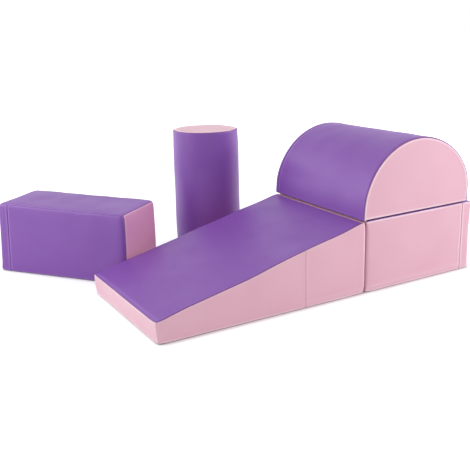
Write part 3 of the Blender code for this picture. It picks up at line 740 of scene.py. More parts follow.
# The foam presses the covers out: pressure in cloth that its seams hold, with the result capped
def stuffCovers(modules):
    simulated = [makeCloth(module) for module in modules]
    for k in range(1, stuffing["frames"] + 1):
        scene.frame_set(k)
    graph = bpy.context.evaluated_depsgraph_get()
    for cloth, shares in simulated:
        result = np.zeros(len(cloth.data.vertices) * 3, np.float32)
        cloth.evaluated_get(graph).data.vertices.foreach_get("co", result)
        result = result.reshape(-1, 3).astype(float)
        for panel, start, offset in shares:
            count = len(panel["points"]) - start
            moved = result[offset:offset + count] - panel["points"][start:]
            reach = np.linalg.norm(moved, axis=1)
            print(panel["name"], "stuffed by", round(float(reach.max()) * 1000, 1), "mm")
            cap = stuffing["cap"] * panel["fullness"]
            panel["points"][start:] += moved * (cap / (cap + reach))[:, None]
        bpy.data.objects.remove(cloth)
    scene.frame_set(1)


def nodesOf(name):
    return [node for node in (name, f"{name}_panel") if node in frame["nodes"]]


threadLook = {
    "beside": {"Pitch": 0.0050, "Stitch": 0.0036, "Thickness": 0.0007},
    "seam": {"Pitch": 0.0034, "Stitch": 0.0026, "Thickness": 0.0007},
    "setIn": 0.0035, "lift": 0.00005, "seamDepth": 0.0011, "step": 0.004,
}
grip = {"height": 0.0006, "rim": 0.004, "pitch": 0.011, "radius": 0.0017, "inset": 0.014}


# Seam groove, the soft shoulder beside it and small puckers that run in from the stitches
def sewPanel(module, panel):
    near = np.maximum(panel["distance"] - cover["seamGap"], 0)
    pull = ripple(panel["along"][:, None], cover["puckerLength"], panel["seed"])
    fade = smooth((panel["toCorner"] - near) / cover["puckerFade"])
    width = cover["grooveWidth"] * (1 + cover["grooveVary"] * pull * fade)
    groove = cover["grooveDepth"] * np.exp(-near / width) * panel["groove"]
    rise, place, breadth = (
        np.where(panel["ridge"], cover["ridge"][k], cover["shoulder"][k]) for k in ("rise", "place", "spread")
    )
    pinned = np.exp(-near / cover["grooveWidth"] / cover["pinWidths"])
    reach = np.exp(-near / cover["puckerReach"]) * (1 - pinned)
    rise = rise * hump(near - place, breadth) + cover["puckerRise"] * pull * fade * reach - groove
    # Painted shade near the seam, out to each side's shade reach, where shade falls in the groove and gaps
    depth = np.minimum(1, panel["groove"])
    shaded = smooth(1 - near / panel["shade"]) * depth
    off = np.where(panel["ridge"], near - cover["ridge"]["place"] + cover["shoulder"]["place"], near)
    # Paler wear and painted highlight: a band beside the seam on the sides that catch the light, and along a
    # crease
    (a, b), (c, d) = cover["rubRise"], cover["rubFall"]
    rubbed = smooth((off - a) / (b - a)) * smooth((d - off) / (d - c)) * panel["rub"] * depth
    pattern, slot = panel["net"]["points"], panel["slot"]
    if panel["crease"] is not None:
        height, breadth, strength = panel["crease"]
        rubbed += strength * hump(pattern[:, 1] - height, breadth)
    if not panel["free"]:
        rise = np.minimum(rise, 0)
    row = panel["net"]["rowLength"]
    panel["seamLine"] = panel["points"][:row] - panel["normals"][:row] * threadLook["seamDepth"]
    if slot is not None:
        beside = slotDistance(slot, pattern)
        bulge = smooth((beside - zips["flatReach"]) / zips["riseReach"])
        panel["points"] = panel["plain"] + (panel["points"] - panel["plain"]) * bulge[:, None]
        rise -= zips["foldDepth"] * np.exp(-np.maximum(beside, 0) / zips["foldWidth"])
        rise += zips["foldRise"] * hump(beside - zips["foldPlace"], zips["foldPlace"])
        # Painted shade round the zip opening
        shaded = np.maximum(shaded, smooth(1 - beside / cover["shade"]))
    if panel["colour"] == "non_slip_base":
        rise -= grip["height"] * smooth((near - grip["rim"]) / grip["rim"])
    panel["sewn"] = panel["points"] + panel["normals"] * rise[:, None]
    material = ownCloth.get(panel["name"], slotCloth[panel["colour"]])
    marks = {"rubbed": rubbed, "shaded": shaded}
    piece = newPiece(f"{panel['name']}_cover", panel["sewn"], panel["faces"], material, pattern, marks)
    shell = piece.modifiers.new("cloth thickness", "SOLIDIFY")
    shell.thickness, shell.offset = cover["thickness"], -1.0
    flat = [Vector((x, y, 0)) for x, y in pattern]
    panel["chart"] = flat, BVHTree.FromPolygons(flat, panel["faces"])
    dress(piece, module["body"], panel["colour"], *nodesOf(panel["name"]))


floorStill = ((0, 0, 0), (0, 0, -1))
upright = ((1, 0, 0), (0, 1, 0), (0, 0, 1))
lying = ((1, 0, 0), (0, 0, 1), (0, 1, 0))
lyingStill = ((0, 0, 0), (0, -1, 0))

block = {
    "length": 0.454, "width": 0.500, "height": 0.240, "capReturn": 0.039, "radii": (0.009, 0.003),
    "creaseRise": 0.0013, "creaseHeight": 0.019, "creaseSpread": 0.0055, "creaseEnds": 0.03,
    "creaseWear": 0.35, "cornerFull": 0.0065, "cornerReach": 0.045, "seamRound": 0.014,
    "jointShade": 0.026, "softCorners": (0.002, 0.020),
}


# A soft crease runs along the near side above the floor, and the near rear corner is full
def blockCrease(local, calm):
    x, y, z = local.T
    ends = smooth((block["length"] / 2 - abs(x)) / block["creaseEnds"])
    crease = hump(z - block["creaseHeight"], block["creaseSpread"]) * ends * smooth(-y / block["width"] * 2)
    away = np.hypot(x - block["length"] / 2, y + block["width"] / 2)
    full = block["cornerFull"] * hump(away, block["cornerReach"])
    return np.column_stack([x + full, y - block["creaseRise"] * crease, z])


def boxSides(x, y):
    return straightSides([(-x, -y), (x, -y), (x, y), (-x, y)])


# Step block: three sides, a cap that turns both rear corners, a purple top and the base
def makeBlock():
    x, height = block["length"] / 2, block["height"]
    module = newModule(
        "block", "step_block", boxSides(x, block["width"] / 2), height, upright, (0, 0, 0), 11,
        [floorStill, ((-x, 0, 0), (-1, 0, 0)), ((0, 0, height), (0, 0, 1))],
        lambda flat, across: np.minimum(across, height - across),
        shape=blockCrease, softCorners=block["softCorners"], radii=block["radii"],
    )
    start, near, rear, far, front = module["run"]
    seams = near - block["capReturn"], rear + block["capReturn"]
    slot = zipSlot(module, (near + rear) / 2)
    crease = (block["creaseHeight"], block["creaseSpread"], block["creaseWear"])
    # Painted shade deepens the near side where it turns into the joint with the ramp, and the crease gets a paler
    # line of wear and painted highlight
    looks = {"shade": {3: block["jointShade"]}, "crease": crease}
    wrapPanel(module, "near", "pink_cover", -block["seamRound"], seams[0], folds=(start,), **looks)
    wrapPanel(module, "rear_cap", "pink_cover", *seams, folds=(near, rear), slot=slot, stitched="ends")
    wrapPanel(module, "far", "pink_cover", seams[1], far)
    wrapPanel(module, "front", "pink_cover", far, front - block["seamRound"], free=False)
    endPanel(module, "top", "purple_cover", height, free=False)
    addBase(module)
    return module


ramp = {
    "length": 0.732, "toeHeight": 0.066, "heelHeight": 0.239, "toeSetback": 0.007, "sideSeam": 0.500,
    "waveReach": 0.060, "waveRise": 0.0018, "waveLow": 0.40, "wavePeriod": 0.50, "waveEnds": 0.12,
    "heelOver": 0.0108, "softCorners": (0.003, 0.018), "toeSkew": 0.008, "skewReach": 0.28,
    # Painted shade darkens the slide's near and toe edges and the near heel side by the heel corner; paler wear
    # and painted highlight is kept off most slide edges, eased on the near sides and laid along the near heel
    # crease
    "slide": {"shade": {0: 0.0085, 1: 0.0030}, "rub": {0: 0.0, 1: 0.6, 2: 0.0, 3: 0.0}, "fullness": 0.5},
    "toe": {"groove": {0: 0.1, 2: 0.1}},
    "nearToe": {"groove": {1: 0.22, 3: 0.1}, "rub": {2: 0.35}},
    "nearHeel": {
        "groove": {3: 0.22}, "rub": {2: 0.35}, "shade": {1: 0.0035}, "crease": (0.017, 0.005, 0.25),
    },
}
ramp["slope"] = (ramp["heelHeight"] - ramp["toeHeight"]) / ramp["length"]
ramp["seamPlace"] = ramp["sideSeam"] - ramp["length"]


# The near top edge of the slide dips and rises a few millimetres, and the toe is a little askew
def rampEdge(local, calm):
    x, z, across = local.T
    away = np.hypot(ramp["heelHeight"] + x * ramp["slope"] - z, across)
    share = 1 + x / ramp["length"]
    wave = np.cos((share - ramp["waveLow"]) / ramp["wavePeriod"] * 2 * math.pi)
    wave = ramp["waveRise"] * wave * hump(away, ramp["waveReach"]) * calm
    wave *= smooth(share / ramp["waveEnds"]) * smooth((1 - share) / ramp["waveEnds"])
    nearToe = smooth(1 - share / ramp["skewReach"]) * smooth(1 - across / block["width"])
    return np.column_stack([x - ramp["toeSkew"] * nearToe, z - wave, across])


# Wedge ramp: a purple slide, pink toe, heel and sides, with a seam up the near side
def makeRamp():
    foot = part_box("ramp_heel_panel")[1].x
    width, heel, toe, length = block["width"], ramp["heelHeight"], ramp["toeHeight"], ramp["length"]
    corners = [(ramp["toeSetback"] - length, 0.0), (0.0, 0.0), (0.0, heel), (-length, toe)]
    module = newModule(
        "ramp", "ramp", straightSides(corners), width, lying, (foot, -width / 2, 0.0), 23,
        [lyingStill, ((0, 0, 0), (1, 0, 0))], lambda flat, across: np.minimum(flat[:, 1], -flat[:, 0]),
        shape=rampEdge, softCorners=ramp["softCorners"],
    )
    run, over, heelOver = module["run"], cover["turnOver"], ramp["heelOver"]
    wrapPanel(module, "base", "non_slip_base", run[0], run[1], free=False)
    # The heel strip's turned-over top is darkened by painted shade under the half-round
    wrapPanel(module, "heel", "pink_cover", run[1], run[2] + heelOver, free=False, shade={1: heelOver})
    slide = {"low": over, "ridge": (1,), **ramp["slide"]}
    wrapPanel(module, "slide", "purple_cover", run[2] + heelOver, run[3] - over, **slide)
    wrapPanel(module, "toe", "pink_cover", run[3] - over, run[4], **ramp["toe"])
    seam, raised = ramp["seamPlace"], over * math.hypot(1, ramp["slope"])
    lean = -ramp["toeSetback"] / toe
    toeRaised = raised / (1 - ramp["slope"] * lean)
    foldTop = (seam, heel + seam * ramp["slope"] + raised)
    toeTop = (lean * toeRaised - length, toe + toeRaised)
    toeSide = straightSides([corners[0], (seam, 0.0), foldTop, toeTop])
    heelSide = straightSides([(seam, 0.0), corners[1], (0.0, heel + raised), foldTop])
    endPanel(module, "near_toe", "pink_cover", 0.0, toeSide, stitched="side", **ramp["nearToe"])
    endPanel(module, "near_heel", "pink_cover", 0.0, heelSide, stitched="side", **ramp["nearHeel"])
    slot = zipSlot(module, module["zip"][0].translation.x - foot)
    endPanel(module, "far", "pink_cover", width, slot=slot)
    return module


halfRound = {
    "radius": 0.226, "skirt": 0.015, "shift": 0.015, "band": 0.013, "archSteps": 120,
    "shoulderAngle": 29.0, "shoulderSpread": 27.0, "shoulderRise": 0.0115, "shoulderFoot": 0.06,
    "shoulderFade": 0.5,
    "farSag": 0.009, "sagFoot": 0.16, "hang": 0.003, "hangPlace": (0.213, 0.006), "hangHeight": 0.05,
    "nearHang": 0.0016, "nearPlace": (0.03, 0.02),
    # Painted shade darkens the arch along its near end and at the band seam, and the band at that seam; the arch
    # keeps paler wear and painted highlight only along the band seam
    "arch": {"shade": {0: 0.0065, 2: 0.0045}, "rub": {0: 0.0, 1: 0.0, 3: 0.0}, "ridge": (2,)},
    "bandLook": {"shade": {0: 0.0035}, "free": False, "pattern": {"step": 0.004, "rowShare": 0.5}},
}


# The foam isn't quite true: full on one shoulder at the near end, and lower at the far end
def halfRoundSag(local, calm):
    x, z, across = local.T
    up = z - halfRound["skirt"]
    along = across / block["width"]
    away = np.degrees(np.arctan2(up, x)) - halfRound["shoulderAngle"]
    out = halfRound["shoulderRise"] * hump(away, halfRound["shoulderSpread"])
    out *= (1 - halfRound["shoulderFade"] * along) * smooth(z / halfRound["shoulderFoot"]) / halfRound["radius"]
    (hangStart, hangRun), (nearStart, nearRun) = halfRound["hangPlace"], halfRound["nearPlace"]
    low = smooth((halfRound["hangHeight"] - z) / halfRound["hangHeight"])
    drop = halfRound["farSag"] * along * smooth(z / halfRound["sagFoot"])
    drop = drop + halfRound["hang"] * smooth((-x - hangStart) / hangRun) * low
    drop = drop + halfRound["nearHang"] * smooth((nearStart - across) / nearRun) * low
    return np.column_stack([x + x * out, z + up * out - drop, across])


def archSide(radius):
    arch = arcPoints((0.0, halfRound["skirt"]), radius, 0, 180, halfRound["archSteps"])
    return [np.array([(-radius, 0.0), (radius, 0.0)]), np.vstack([[(radius, 0.0)], arch, [(-radius, 0.0)]])]


# Half-round on the block: a purple arch with a narrow band at its far end, and two pink ends
def makeHalfRound():
    radius, width, turned = halfRound["radius"], block["width"], cover["turnOver"]
    origin = (-halfRound["shift"], -width / 2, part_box("half_round_base_panel")[0].z)
    module = newModule(
        "half_round", "half_round", archSide(radius), width, lying, origin, 37, [lyingStill],
        lambda flat, across: flat[:, 1], shape=halfRoundSag,
    )
    stations, fold = module["run"][[1, -1]], width - halfRound["band"]
    wrapPanel(module, "base", "non_slip_base", 0.0, stations[0], free=False)
    look = {"low": -turned, "high": fold, "stitched": "top", **halfRound["arch"]}
    wrapPanel(module, "arch", "purple_cover", *stations, **look)
    wrapPanel(module, "far_band", "purple_cover", *stations, fold, width, **halfRound["bandLook"])
    endPanel(module, "near_end", "pink_cover", 0.0, archSide(radius - turned))
    slot = zipSlot(module, module["zip"][0].translation.x - origin[0])
    endPanel(module, "far_end", "pink_cover", width, slot=slot)
    return module


cuboid = {
    "length": 0.502, "depth": 0.232, "height": 0.241, "capReturn": 0.042, "footSpread": 0.013,
    "endFull": 0.0055, "radii": (0.013, 0.006), "turnIn": 0.011, "softCorners": (0.0025, 0.019),
    # frontShade is painted shade: a darker strip on the front where it turns in beside the pink end
    "topRise": (0.0035, 0.0095), "topReach": (0.16, 0.08), "frontShade": {1: 0.0085},
}


def pinnedAxes(along):
    return (along.x, along.y, 0), (-along.y, along.x, 0), (0, 0, 1)


# The left end stands a little wider on its foot, and is fuller on top
def cuboidFoot(local, calm):
    x, y, z = local.T
    end = smooth(x / (cuboid["length"] / 2))
    full = cuboid["footSpread"] * (1 - z / cuboid["height"]) * end + cuboid["endFull"] * end
    (low, high), (start, reach) = cuboid["topRise"], cuboid["topReach"]
    rise = low + (high - low) * smooth(x / cuboid["length"] + 0.5)
    return np.column_stack([x + full, y, z + rise * smooth((z - start) / reach)])


# Cuboid: a cap turns both left corners, and the right end is pink
def makeCuboid():
    x, height, over = cuboid["length"] / 2, cuboid["height"], cuboid["turnIn"]
    axes = pinnedAxes(Vector(joints["cuboid_zip_travel"]["axis"]))
    module = newModule(
        "cuboid", "cuboid", boxSides(x, cuboid["depth"] / 2), height, axes,
        mounts["cuboid_floor_rest"]["pos_m"], 53, [floorStill], lambda flat, across: across,
        shape=cuboidFoot, softCorners=cuboid["softCorners"], radii=cuboid["radii"],
    )
    start, back, left, front, end = module["run"]
    seams = back - cuboid["capReturn"], left + cuboid["capReturn"]
    look = {"folds": (front,), "shade": cuboid["frontShade"]}
    wrapPanel(module, "back", "purple_cover", start, seams[0], slot=zipSlot(module, x))
    wrapPanel(module, "left_cap", "purple_cover", *seams, folds=(back, left), stitched="ends")
    wrapPanel(module, "front", "purple_cover", seams[1], front + over, **look)
    wrapPanel(module, "right_end", "pink_cover", front + over, end)
    endPanel(module, "top", "purple_cover", height)
    addBase(module)
    return module


cylinder = {
    "radius": 0.120, "height": 0.460, "steps": 160, "seamBeside": 0.030, "fullness": 0.0045,
    "rimFullness": 0.0020, "rimReach": 0.09, "turnIn": 0.0035, "slant": 0.0034,
    # The wall's shade at its top is painted shade under the cap's rim, and it has no paler wear and painted
    # highlight at its bottom and top
    "lowSide": (0.473, 0.881, 0.0), "wall": {"shade": {2: 0.0095}, "rub": {0: 0.0, 2: 0.0}},
}


def circle(radius):
    return arcPoints((0.0, 0.0), radius, 0, 360, cylinder["steps"])


# Upright cylinder: one purple sheet that closes along the zip, a pink cap and the base
def makeCylinder():
    radius, height, turned = cylinder["radius"], cylinder["height"], cylinder["turnIn"]
    axes = pinnedAxes(zipFrame("cylinder")[0].col[2])
    lowWay = np.array([Vector(axis).dot(cylinder["lowSide"]) for axis in axes[:2]]) / radius

    # The wall stands a little fuller than its rims, and the top isn't quite level
    def wall(local, calm):
        z, reach, rim = local[:, 2], cylinder["rimReach"], cylinder["rimFullness"]
        wide = rim + (cylinder["fullness"] - rim) * smooth((height - z) / reach) * smooth(z / reach)
        slant = cylinder["slant"] * (local[:, :2] @ lowWay) * z / height
        return np.column_stack([local[:, :2] * (1 + wide / radius)[:, None], z - slant])

    module = newModule(
        "cylinder", "cylinder", [circle(radius)], height, axes,
        mounts["cylinder_floor_rest"]["pos_m"], 71, [floorStill], lambda flat, across: across, shape=wall,
    )
    beside = cylinder["seamBeside"]
    look = {"slot": zipSlot(module, beside, True), "stitched": "ends", **cylinder["wall"]}
    end, top = module["run"][-1], height + turned
    wrapPanel(module, "wall", "purple_cover", 0.0, end, high=top, shift=beside, **look)
    endPanel(module, "top_cap", "pink_cover", height, [circle(radius - turned)], free=False)
    addBase(module)
    return module


modules = [makeBlock(), makeRamp(), makeHalfRound(), makeCuboid(), makeCylinder()]
print("patterns cut,", sum(len(module["panels"]) for module in modules), "panels")
stuffCovers(modules)
for module in modules:
    for panel in module["panels"].values():
        sewPanel(module, panel)
print("covers sewn")


# Points on a sewn cover at places of its flat pattern
def onCover(panel, places):
    flat, chart = panel["chart"]
    found = []
    for x, y in places:
        spot, _, index, _ = chart.find_nearest((x, y, 0))
        face = panel["faces"][index]
        shares = np.array(poly_3d_calc([flat[v] for v in face], spot))
        point, normal = (shares @ panel[k][face] for k in ("sewn", "normals"))
        found.append(point + normal / np.linalg.norm(normal) * threadLook["lift"])
    return np.array(found)


def flatLine(start, stop):
    return np.linspace(start, stop, max(2, round(math.dist(start, stop) / threadLook["step"])) + 1)


# A geometry tree with named sizes; what it grows is made a plain mesh at once
def newTree(name, sizes):
    tree = bpy.data.node_groups.new(name, "GeometryNodeTree")
    for way in ("INPUT", "OUTPUT"):
        tree.interface.new_socket("Geometry", in_out=way, socket_type="NodeSocketGeometry")
    for size, value in sizes.items():
        kind = "NodeSocketInt" if isinstance(value, int) else "NodeSocketFloat"
        tree.interface.new_socket(size, in_out="INPUT", socket_type=kind).default_value = value
    return tree, add(tree, "NodeGroupInput").outputs


def endTree(tree, rows, material):
    made = output(tree, "GeometryNodeInstanceOnPoints", rows)
    for kind in ("GeometryNodeRealizeInstances", "GeometryNodeSetShadeSmooth"):
        made = output(tree, kind, {"Geometry": made})
    made = output(tree, "GeometryNodeSetMaterial", {"Geometry": made, "Material": material})
    add(tree, "NodeGroupOutput", {"Geometry": made})
    return tree


def grow(name, points, edges, faces, tree, sizes, turn=Matrix()):
    mesh = bpy.data.meshes.new(f"{name}_start")
    mesh.from_pydata([tuple(map(float, p)) for p in points], edges, faces)
    start = link(f"{name}_start", mesh)
    modifier = start.modifiers.new("grow", "NODES")
    modifier.node_group = tree
    for item in tree.interface.items_tree:
        if item.in_out == "INPUT" and item.name in sizes:
            modifier[item.identifier] = sizes[item.name]
    graph = bpy.context.evaluated_depsgraph_get()
    made = bpy.data.meshes.new_from_object(start.evaluated_get(graph))
    start.modifiers.clear()
    bpy.data.objects.remove(start)
    made.transform(turn)
    made.name = name
    return link(name, made)


def ringEdges(count):
    return [(k, (k + 1) % count) for k in range(count)]


# Stitches: small grains of thread set end to end along every path
def stitchTree(material):
    tree, given = newTree("stitches", threadLook["beside"])
    path = output(tree, "GeometryNodeMeshToCurve", {"Mesh": given["Geometry"]})
    spaced = {"Curve": path, "Length": given["Pitch"]}
    places = add(tree, "GeometryNodeCurveToPoints", spaced, mode="LENGTH").outputs
    grain = output(tree, "GeometryNodeMeshUVSphere", {"Segments": 6, "Rings": 4, "Radius": 0.5})
    return endTree(tree, {
        "Points": places["Points"], "Instance": grain, "Rotation": places["Rotation"],
        "Scale": vector(tree, given["Thickness"], given["Thickness"], given["Stitch"]),
    }, material)


# A field of small shapes in staggered rows, wherever the given flat outline lies above the row
def fieldTree(name, shape, material):
    sizes = {"Pitch": 0.01, "Long": 1.0, "Wide": 1.0, "Size": 0.002, "Height": 0.001, "Level": 0.0, "Turn": 0.0}
    tree, given = newTree(name, sizes)
    pitch, lift = given["Pitch"], maths(tree, "MULTIPLY", given["Pitch"], math.sqrt(3))
    field = output(tree, "GeometryNodeMeshGrid", {
        "Size X": given["Long"], "Size Y": given["Wide"],
        "Vertices X": maths(tree, "DIVIDE", given["Long"], pitch),
        "Vertices Y": maths(tree, "DIVIDE", given["Wide"], lift),
    })
    half = [maths(tree, "MULTIPLY", length, 0.5) for length in (pitch, lift)]
    shifted = {"Geometry": field, "Translation": vector(tree, *half, 0.0)}
    second = output(tree, "GeometryNodeTransform", shifted)
    both = add(tree, "GeometryNodeJoinGeometry")
    for rows in (field, second):
        tree.links.new(rows, both.inputs[0])
    below = {0: output(tree, "GeometryNodeInputPosition", {}), 1: (0.0, 0.0, -0.5)}
    hit = output(tree, "GeometryNodeRaycast", {
        "Target Geometry": given["Geometry"], "Ray Direction": (0.0, 0.0, 1.0), "Ray Length": 1.0,
        "Source Position": output(tree, "ShaderNodeVectorMath", below, operation="ADD"),
    }, "Is Hit")
    level = {"Geometry": both.outputs[0], "Offset": vector(tree, 0.0, 0.0, given["Level"])}
    spin = {"Min": (0.0, 0.0, 0.0), "Max": vector(tree, 0.0, 0.0, given["Turn"]), "Seed": 5}
    return endTree(tree, {
        "Points": output(tree, "GeometryNodeSetPosition", level), "Selection": hit,
        "Rotation": output(tree, "FunctionNodeRandomValue", spin, data_type="FLOAT_VECTOR"),
        "Instance": shape(tree), "Scale": vector(tree, given["Size"], given["Size"], given["Height"]),
    }, material)


def domeShape(tree):
    sizes = {"Vertices": 8, "Side Segments": 2, "Radius Top": 0.62, "Radius Bottom": 1.0, "Depth": 1.0}
    return output(tree, "GeometryNodeMeshCone", sizes)


# A loop of thread standing in the cloth, or a hook, which is a loop with one side cut
def curlShape(tree, sweep):
    arc = {"Resolution": 6, "Radius": 1.0, "Start Angle": 0.0, "Sweep Angle": math.radians(sweep)}
    curl = output(tree, "GeometryNodeCurveArc", arc, mode="RADIUS")
    stood = {"Geometry": curl, "Rotation": (math.radians(90), 0.0, 0.0)}
    profile = {"Resolution": 3, "Radius": 0.17}
    thread = output(tree, "GeometryNodeCurvePrimitiveCircle", profile, mode="RADIUS")
    tube = {"Curve": output(tree, "GeometryNodeTransform", stood), "Profile Curve": thread, "Fill Caps": True}
    return output(tree, "GeometryNodeCurveToMesh", tube)


# Zip coil: two rows of turns that lie between each other
def coilTree(material):
    tree, given = newTree("zip coil", {"Count": 100, **zips["tooth"]})
    both = add(tree, "GeometryNodeJoinGeometry")
    pitch = given["Pitch"]
    start = maths(tree, "MULTIPLY", maths(tree, "MULTIPLY", pitch, given["Count"]), -0.5)
    late = maths(tree, "ADD", start, maths(tree, "MULTIPLY", pitch, 0.5))
    for side, first in ((1.0, start), (-1.0, late)):
        away = maths(tree, "MULTIPLY", given["Side"], side)
        row = output(tree, "GeometryNodeMeshLine", {
            "Count": given["Count"], "Start Location": vector(tree, first, away, given["Lift"]),
            "Offset": vector(tree, pitch, 0.0, 0.0),
        })
        tree.links.new(row, both.inputs[0])
    turn = output(tree, "GeometryNodeMeshUVSphere", {"Segments": 8, "Rings": 4, "Radius": 0.5})
    return endTree(tree, {
        "Points": both.outputs[0], "Instance": turn,
        "Scale": vector(tree, given["Thick"], given["Wide"], given["High"]),
    }, material)


stitchTrees = {f"{name}_cover": stitchTree(goods[f"{name} thread"]) for name in ("purple", "pink")}
gripTree = fieldTree("grip dots", domeShape, goods["grip dots"])
loopTree = fieldTree("loop pile", lambda tree: curlShape(tree, 180), goods["nylon pile"])
hookTree = fieldTree("hook pile", lambda tree: curlShape(tree, 130), goods["nylon pile"])
zipCoil = coilTree(goods["zip nylon"])


# Rows of thread, each a colour, a path and whether it closes, as one piece for each colour
def growThread(module, label, rows, sizes):
    for colour in dict.fromkeys(row[0] for row in rows):
        points, edges = [], []
        for path, closed in (row[1:] for row in rows if row[0] == colour):
            first, count = len(points), len(path)
            points += list(path)
            edges += [(first + a, first + b) for a, b in ringEdges(count)[:count if closed else count - 1]]
        name = f"{module['name']}_{colour.split('_')[0]}_{label}"
        piece = grow(name, points, edges, [], stitchTrees[colour], sizes)
        dress(piece, module["body"], colour)


# Rows of stitches beside the seams that have them, and round every zip opening
def addTopStitches(module):
    rows = []
    rim, corner = threadLook["setIn"], cover["edgeRadii"][0]
    for part, panel in module["panels"].items():
        (left, bottom), (right, top) = panel["net"]["border"].min(0), panel["net"]["border"].max(0)
        lines = []
        if panel["stitched"] == "ends":
            lines = [((x, bottom + corner), (x, top - corner)) for x in (left + rim, right - rim)]
        elif panel["stitched"] == "top":
            lines = [((left + corner, top - rim), (right - corner, top - rim))]
        elif panel["stitched"] == "side":
            x = ramp["seamPlace"] + (rim if part == "near_heel" else -rim)
            lines = [((x, corner), (x, ramp["heelHeight"] + x * ramp["slope"] - corner))]
        rows += [(panel["colour"], onCover(panel, flatLine(*line)), False) for line in lines]
        if panel["slot"] is not None:
            rows.append((panel["colour"], onCover(panel, slotRow(panel["slot"], rim)), True))
    growThread(module, "stitches", rows, threadLook["beside"])


# Thread that shows down in the seams themselves
def addSeamThreads(module):
    rows = []
    for panel in module["panels"].values():
        if panel["colour"] == "non_slip_base":
            continue
        line, shown = panel["seamLine"], panel["groove"][:len(panel["seamLine"])] == 1
        if shown.all():
            rows.append((panel["colour"], line, True))
            continue
        breaks = np.nonzero(np.diff(shown.astype(int)))[0] + 1
        for piece, kept in zip(np.split(line, breaks), np.split(shown, breaks)):
            if kept[0] and len(piece) > 1:
                rows.append((panel["colour"], piece, False))
    growThread(module, "seam_thread", rows, threadLook["seam"])


# Grip dots on the underside, inside its seam; a lying module's underside is its first side
def addGrip(module):
    outline, axes = module["loop"], module["axes"].tolist()
    if module["name"] in ("ramp", "half_round"):
        (low, high), width = outline[:2, 0], module["width"]
        outline, axes = np.array([(low, 0.0), (high, 0.0), (high, width), (low, width)]), upright
    middle, span = (outline.min(0) + outline.max(0)) / 2, outline.max(0) - outline.min(0)
    points = [(x, y, 0.0) for x, y in insetLoop(outline, grip["inset"]) - middle]
    sizes = {
        "Pitch": grip["pitch"], "Long": float(span[0]), "Wide": float(span[1]),
        "Size": grip["radius"], "Height": grip["height"],
    }
    down = Matrix.Translation((*middle, grip["height"])) @ Matrix.Rotation(math.pi, 4, "X")
    turn, faces = frameAt(axes, module["origin"]) @ down, [tuple(range(len(points)))]
    dots = grow(f"{module['name']}_grip_dots", points, [], faces, gripTree, sizes, turn)
    dress(dots, module["body"], "non_slip_base")


strip = {
    "corner": 0.008, "steps": 6, "plate": 0.0011, "settle": 0.00025, "waist": 0.6, "edge": 0.0006,
    "pitch": 0.0040, "inset": 0.0032, "stitchInset": 0.0022, "curl": 0.00085,
}


# A strip: a cloth plate with round corners, its pile, and the stitches that hold it on
def addStrip(node, body, outward):
    low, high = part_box(node)
    outward, long = Vector(outward), Vector((0, 1, 0))
    across, half = long.cross(outward), (high - low) / 2
    width, length, thick = abs(half.dot(across)), half.y, abs(half.dot(outward))
    matrix = frameAt((across, long, outward), (low + high) / 2 - outward * thick)

    def outline(inset, level):
        corner, steps = strip["corner"], strip["steps"]
        ring = np.vstack(roundCorners(width - corner, length - corner, corner - inset, steps))
        return np.column_stack([ring, np.full(len(ring), level)])

    plate = strip["plate"]
    levels = ((0.0, -strip["settle"]), (0.0, plate * strip["waist"]), (strip["edge"], plate))
    local = np.vstack([outline(*level) for level in levels])
    count = len(local) // len(levels)
    points = [matrix @ Vector(p) for p in local]
    faces = stackFaces(count, len(levels))
    cloth = newPiece(f"{node}_cloth", points, faces, goods["hook and loop cloth"], local[:, :2])
    cloth.data.shade_flat()
    dress(cloth, body, "hook_and_loop", node)
    sizes = {
        "Pitch": strip["pitch"], "Long": 2 * width, "Wide": 2 * length, "Size": strip["curl"],
        "Height": 2 * thick - plate, "Level": plate, "Turn": 2 * math.pi,
    }
    tree, field = hookTree if "hook" in node else loopTree, outline(strip["inset"], 0.0)
    dress(grow(f"{node}_pile", field, [], [tuple(range(count))], tree, sizes, matrix), body, "hook_and_loop")
    seam = [matrix @ Vector(p) for p in outline(strip["stitchInset"], plate)]
    tree, sizes = stitchTrees["purple_cover"], threadLook["beside"]
    dress(grow(f"{node}_stitches", seam, ringEdges(count), [], tree, sizes), body, "hook_and_loop")


# Each zip: a woven tape under the opening, the coil on it, and the metal slider and pull
def addZip(module):
    name, (matrix, length) = module["name"], module["zip"]
    ring = closedLoop(boxSides(length / 2, zips["tapeWidth"] / 2))
    points = [matrix @ Vector((*corner, level)) for level in zips["tapeLevels"] for corner in ring]
    tape = newPiece(f"{name}_zip_tape", points, stackFaces(4, 2), goods["zip tape"], np.vstack([ring, ring]))
    tape.data.shade_flat()
    dress(tape, module["body"], "zip_teeth", f"{name}_zip_chain")
    count = int((length - 2 * zips["endRoom"]) / zips["tooth"]["Pitch"])
    coil = grow(f"{name}_zip_coil", [(0, 0, 0)], [], [], zipCoil, {"Count": count, **zips["tooth"]}, matrix)
    dress(coil, module["body"], "zip_teeth")
    for part in ("slider", "pull"):
        frame["nodes"][f"{name}_zip_{part}"].material_slots[0].material = goods["zip metal"]


for module in modules:
    addTopStitches(module)
    addSeamThreads(module)
    addGrip(module)
    addZip(module)
print("stitches, grip dots and zips made")
stripFaces = {"top_loop": (0, 0, 1), "half_round": (0, 0, -1), "block": (-1, 0, 0), "ramp": (1, 0, 0)}
for name in frame["nodes"]:
    if "strip" in name:
        owner = next(module for module in modules if name.startswith(module["name"]))
        addStrip(name, owner["body"], next(face for part, face in stripFaces.items() if part in name))
print("hook and loop strips made")

foam = {
    "inset": 0.0052, "deeper": {"cylinder": 0.005}, "step": 0.022,
    "edgeRadius": 0.010, "edgeSegments": 4, "edgeAngle": 35,
}


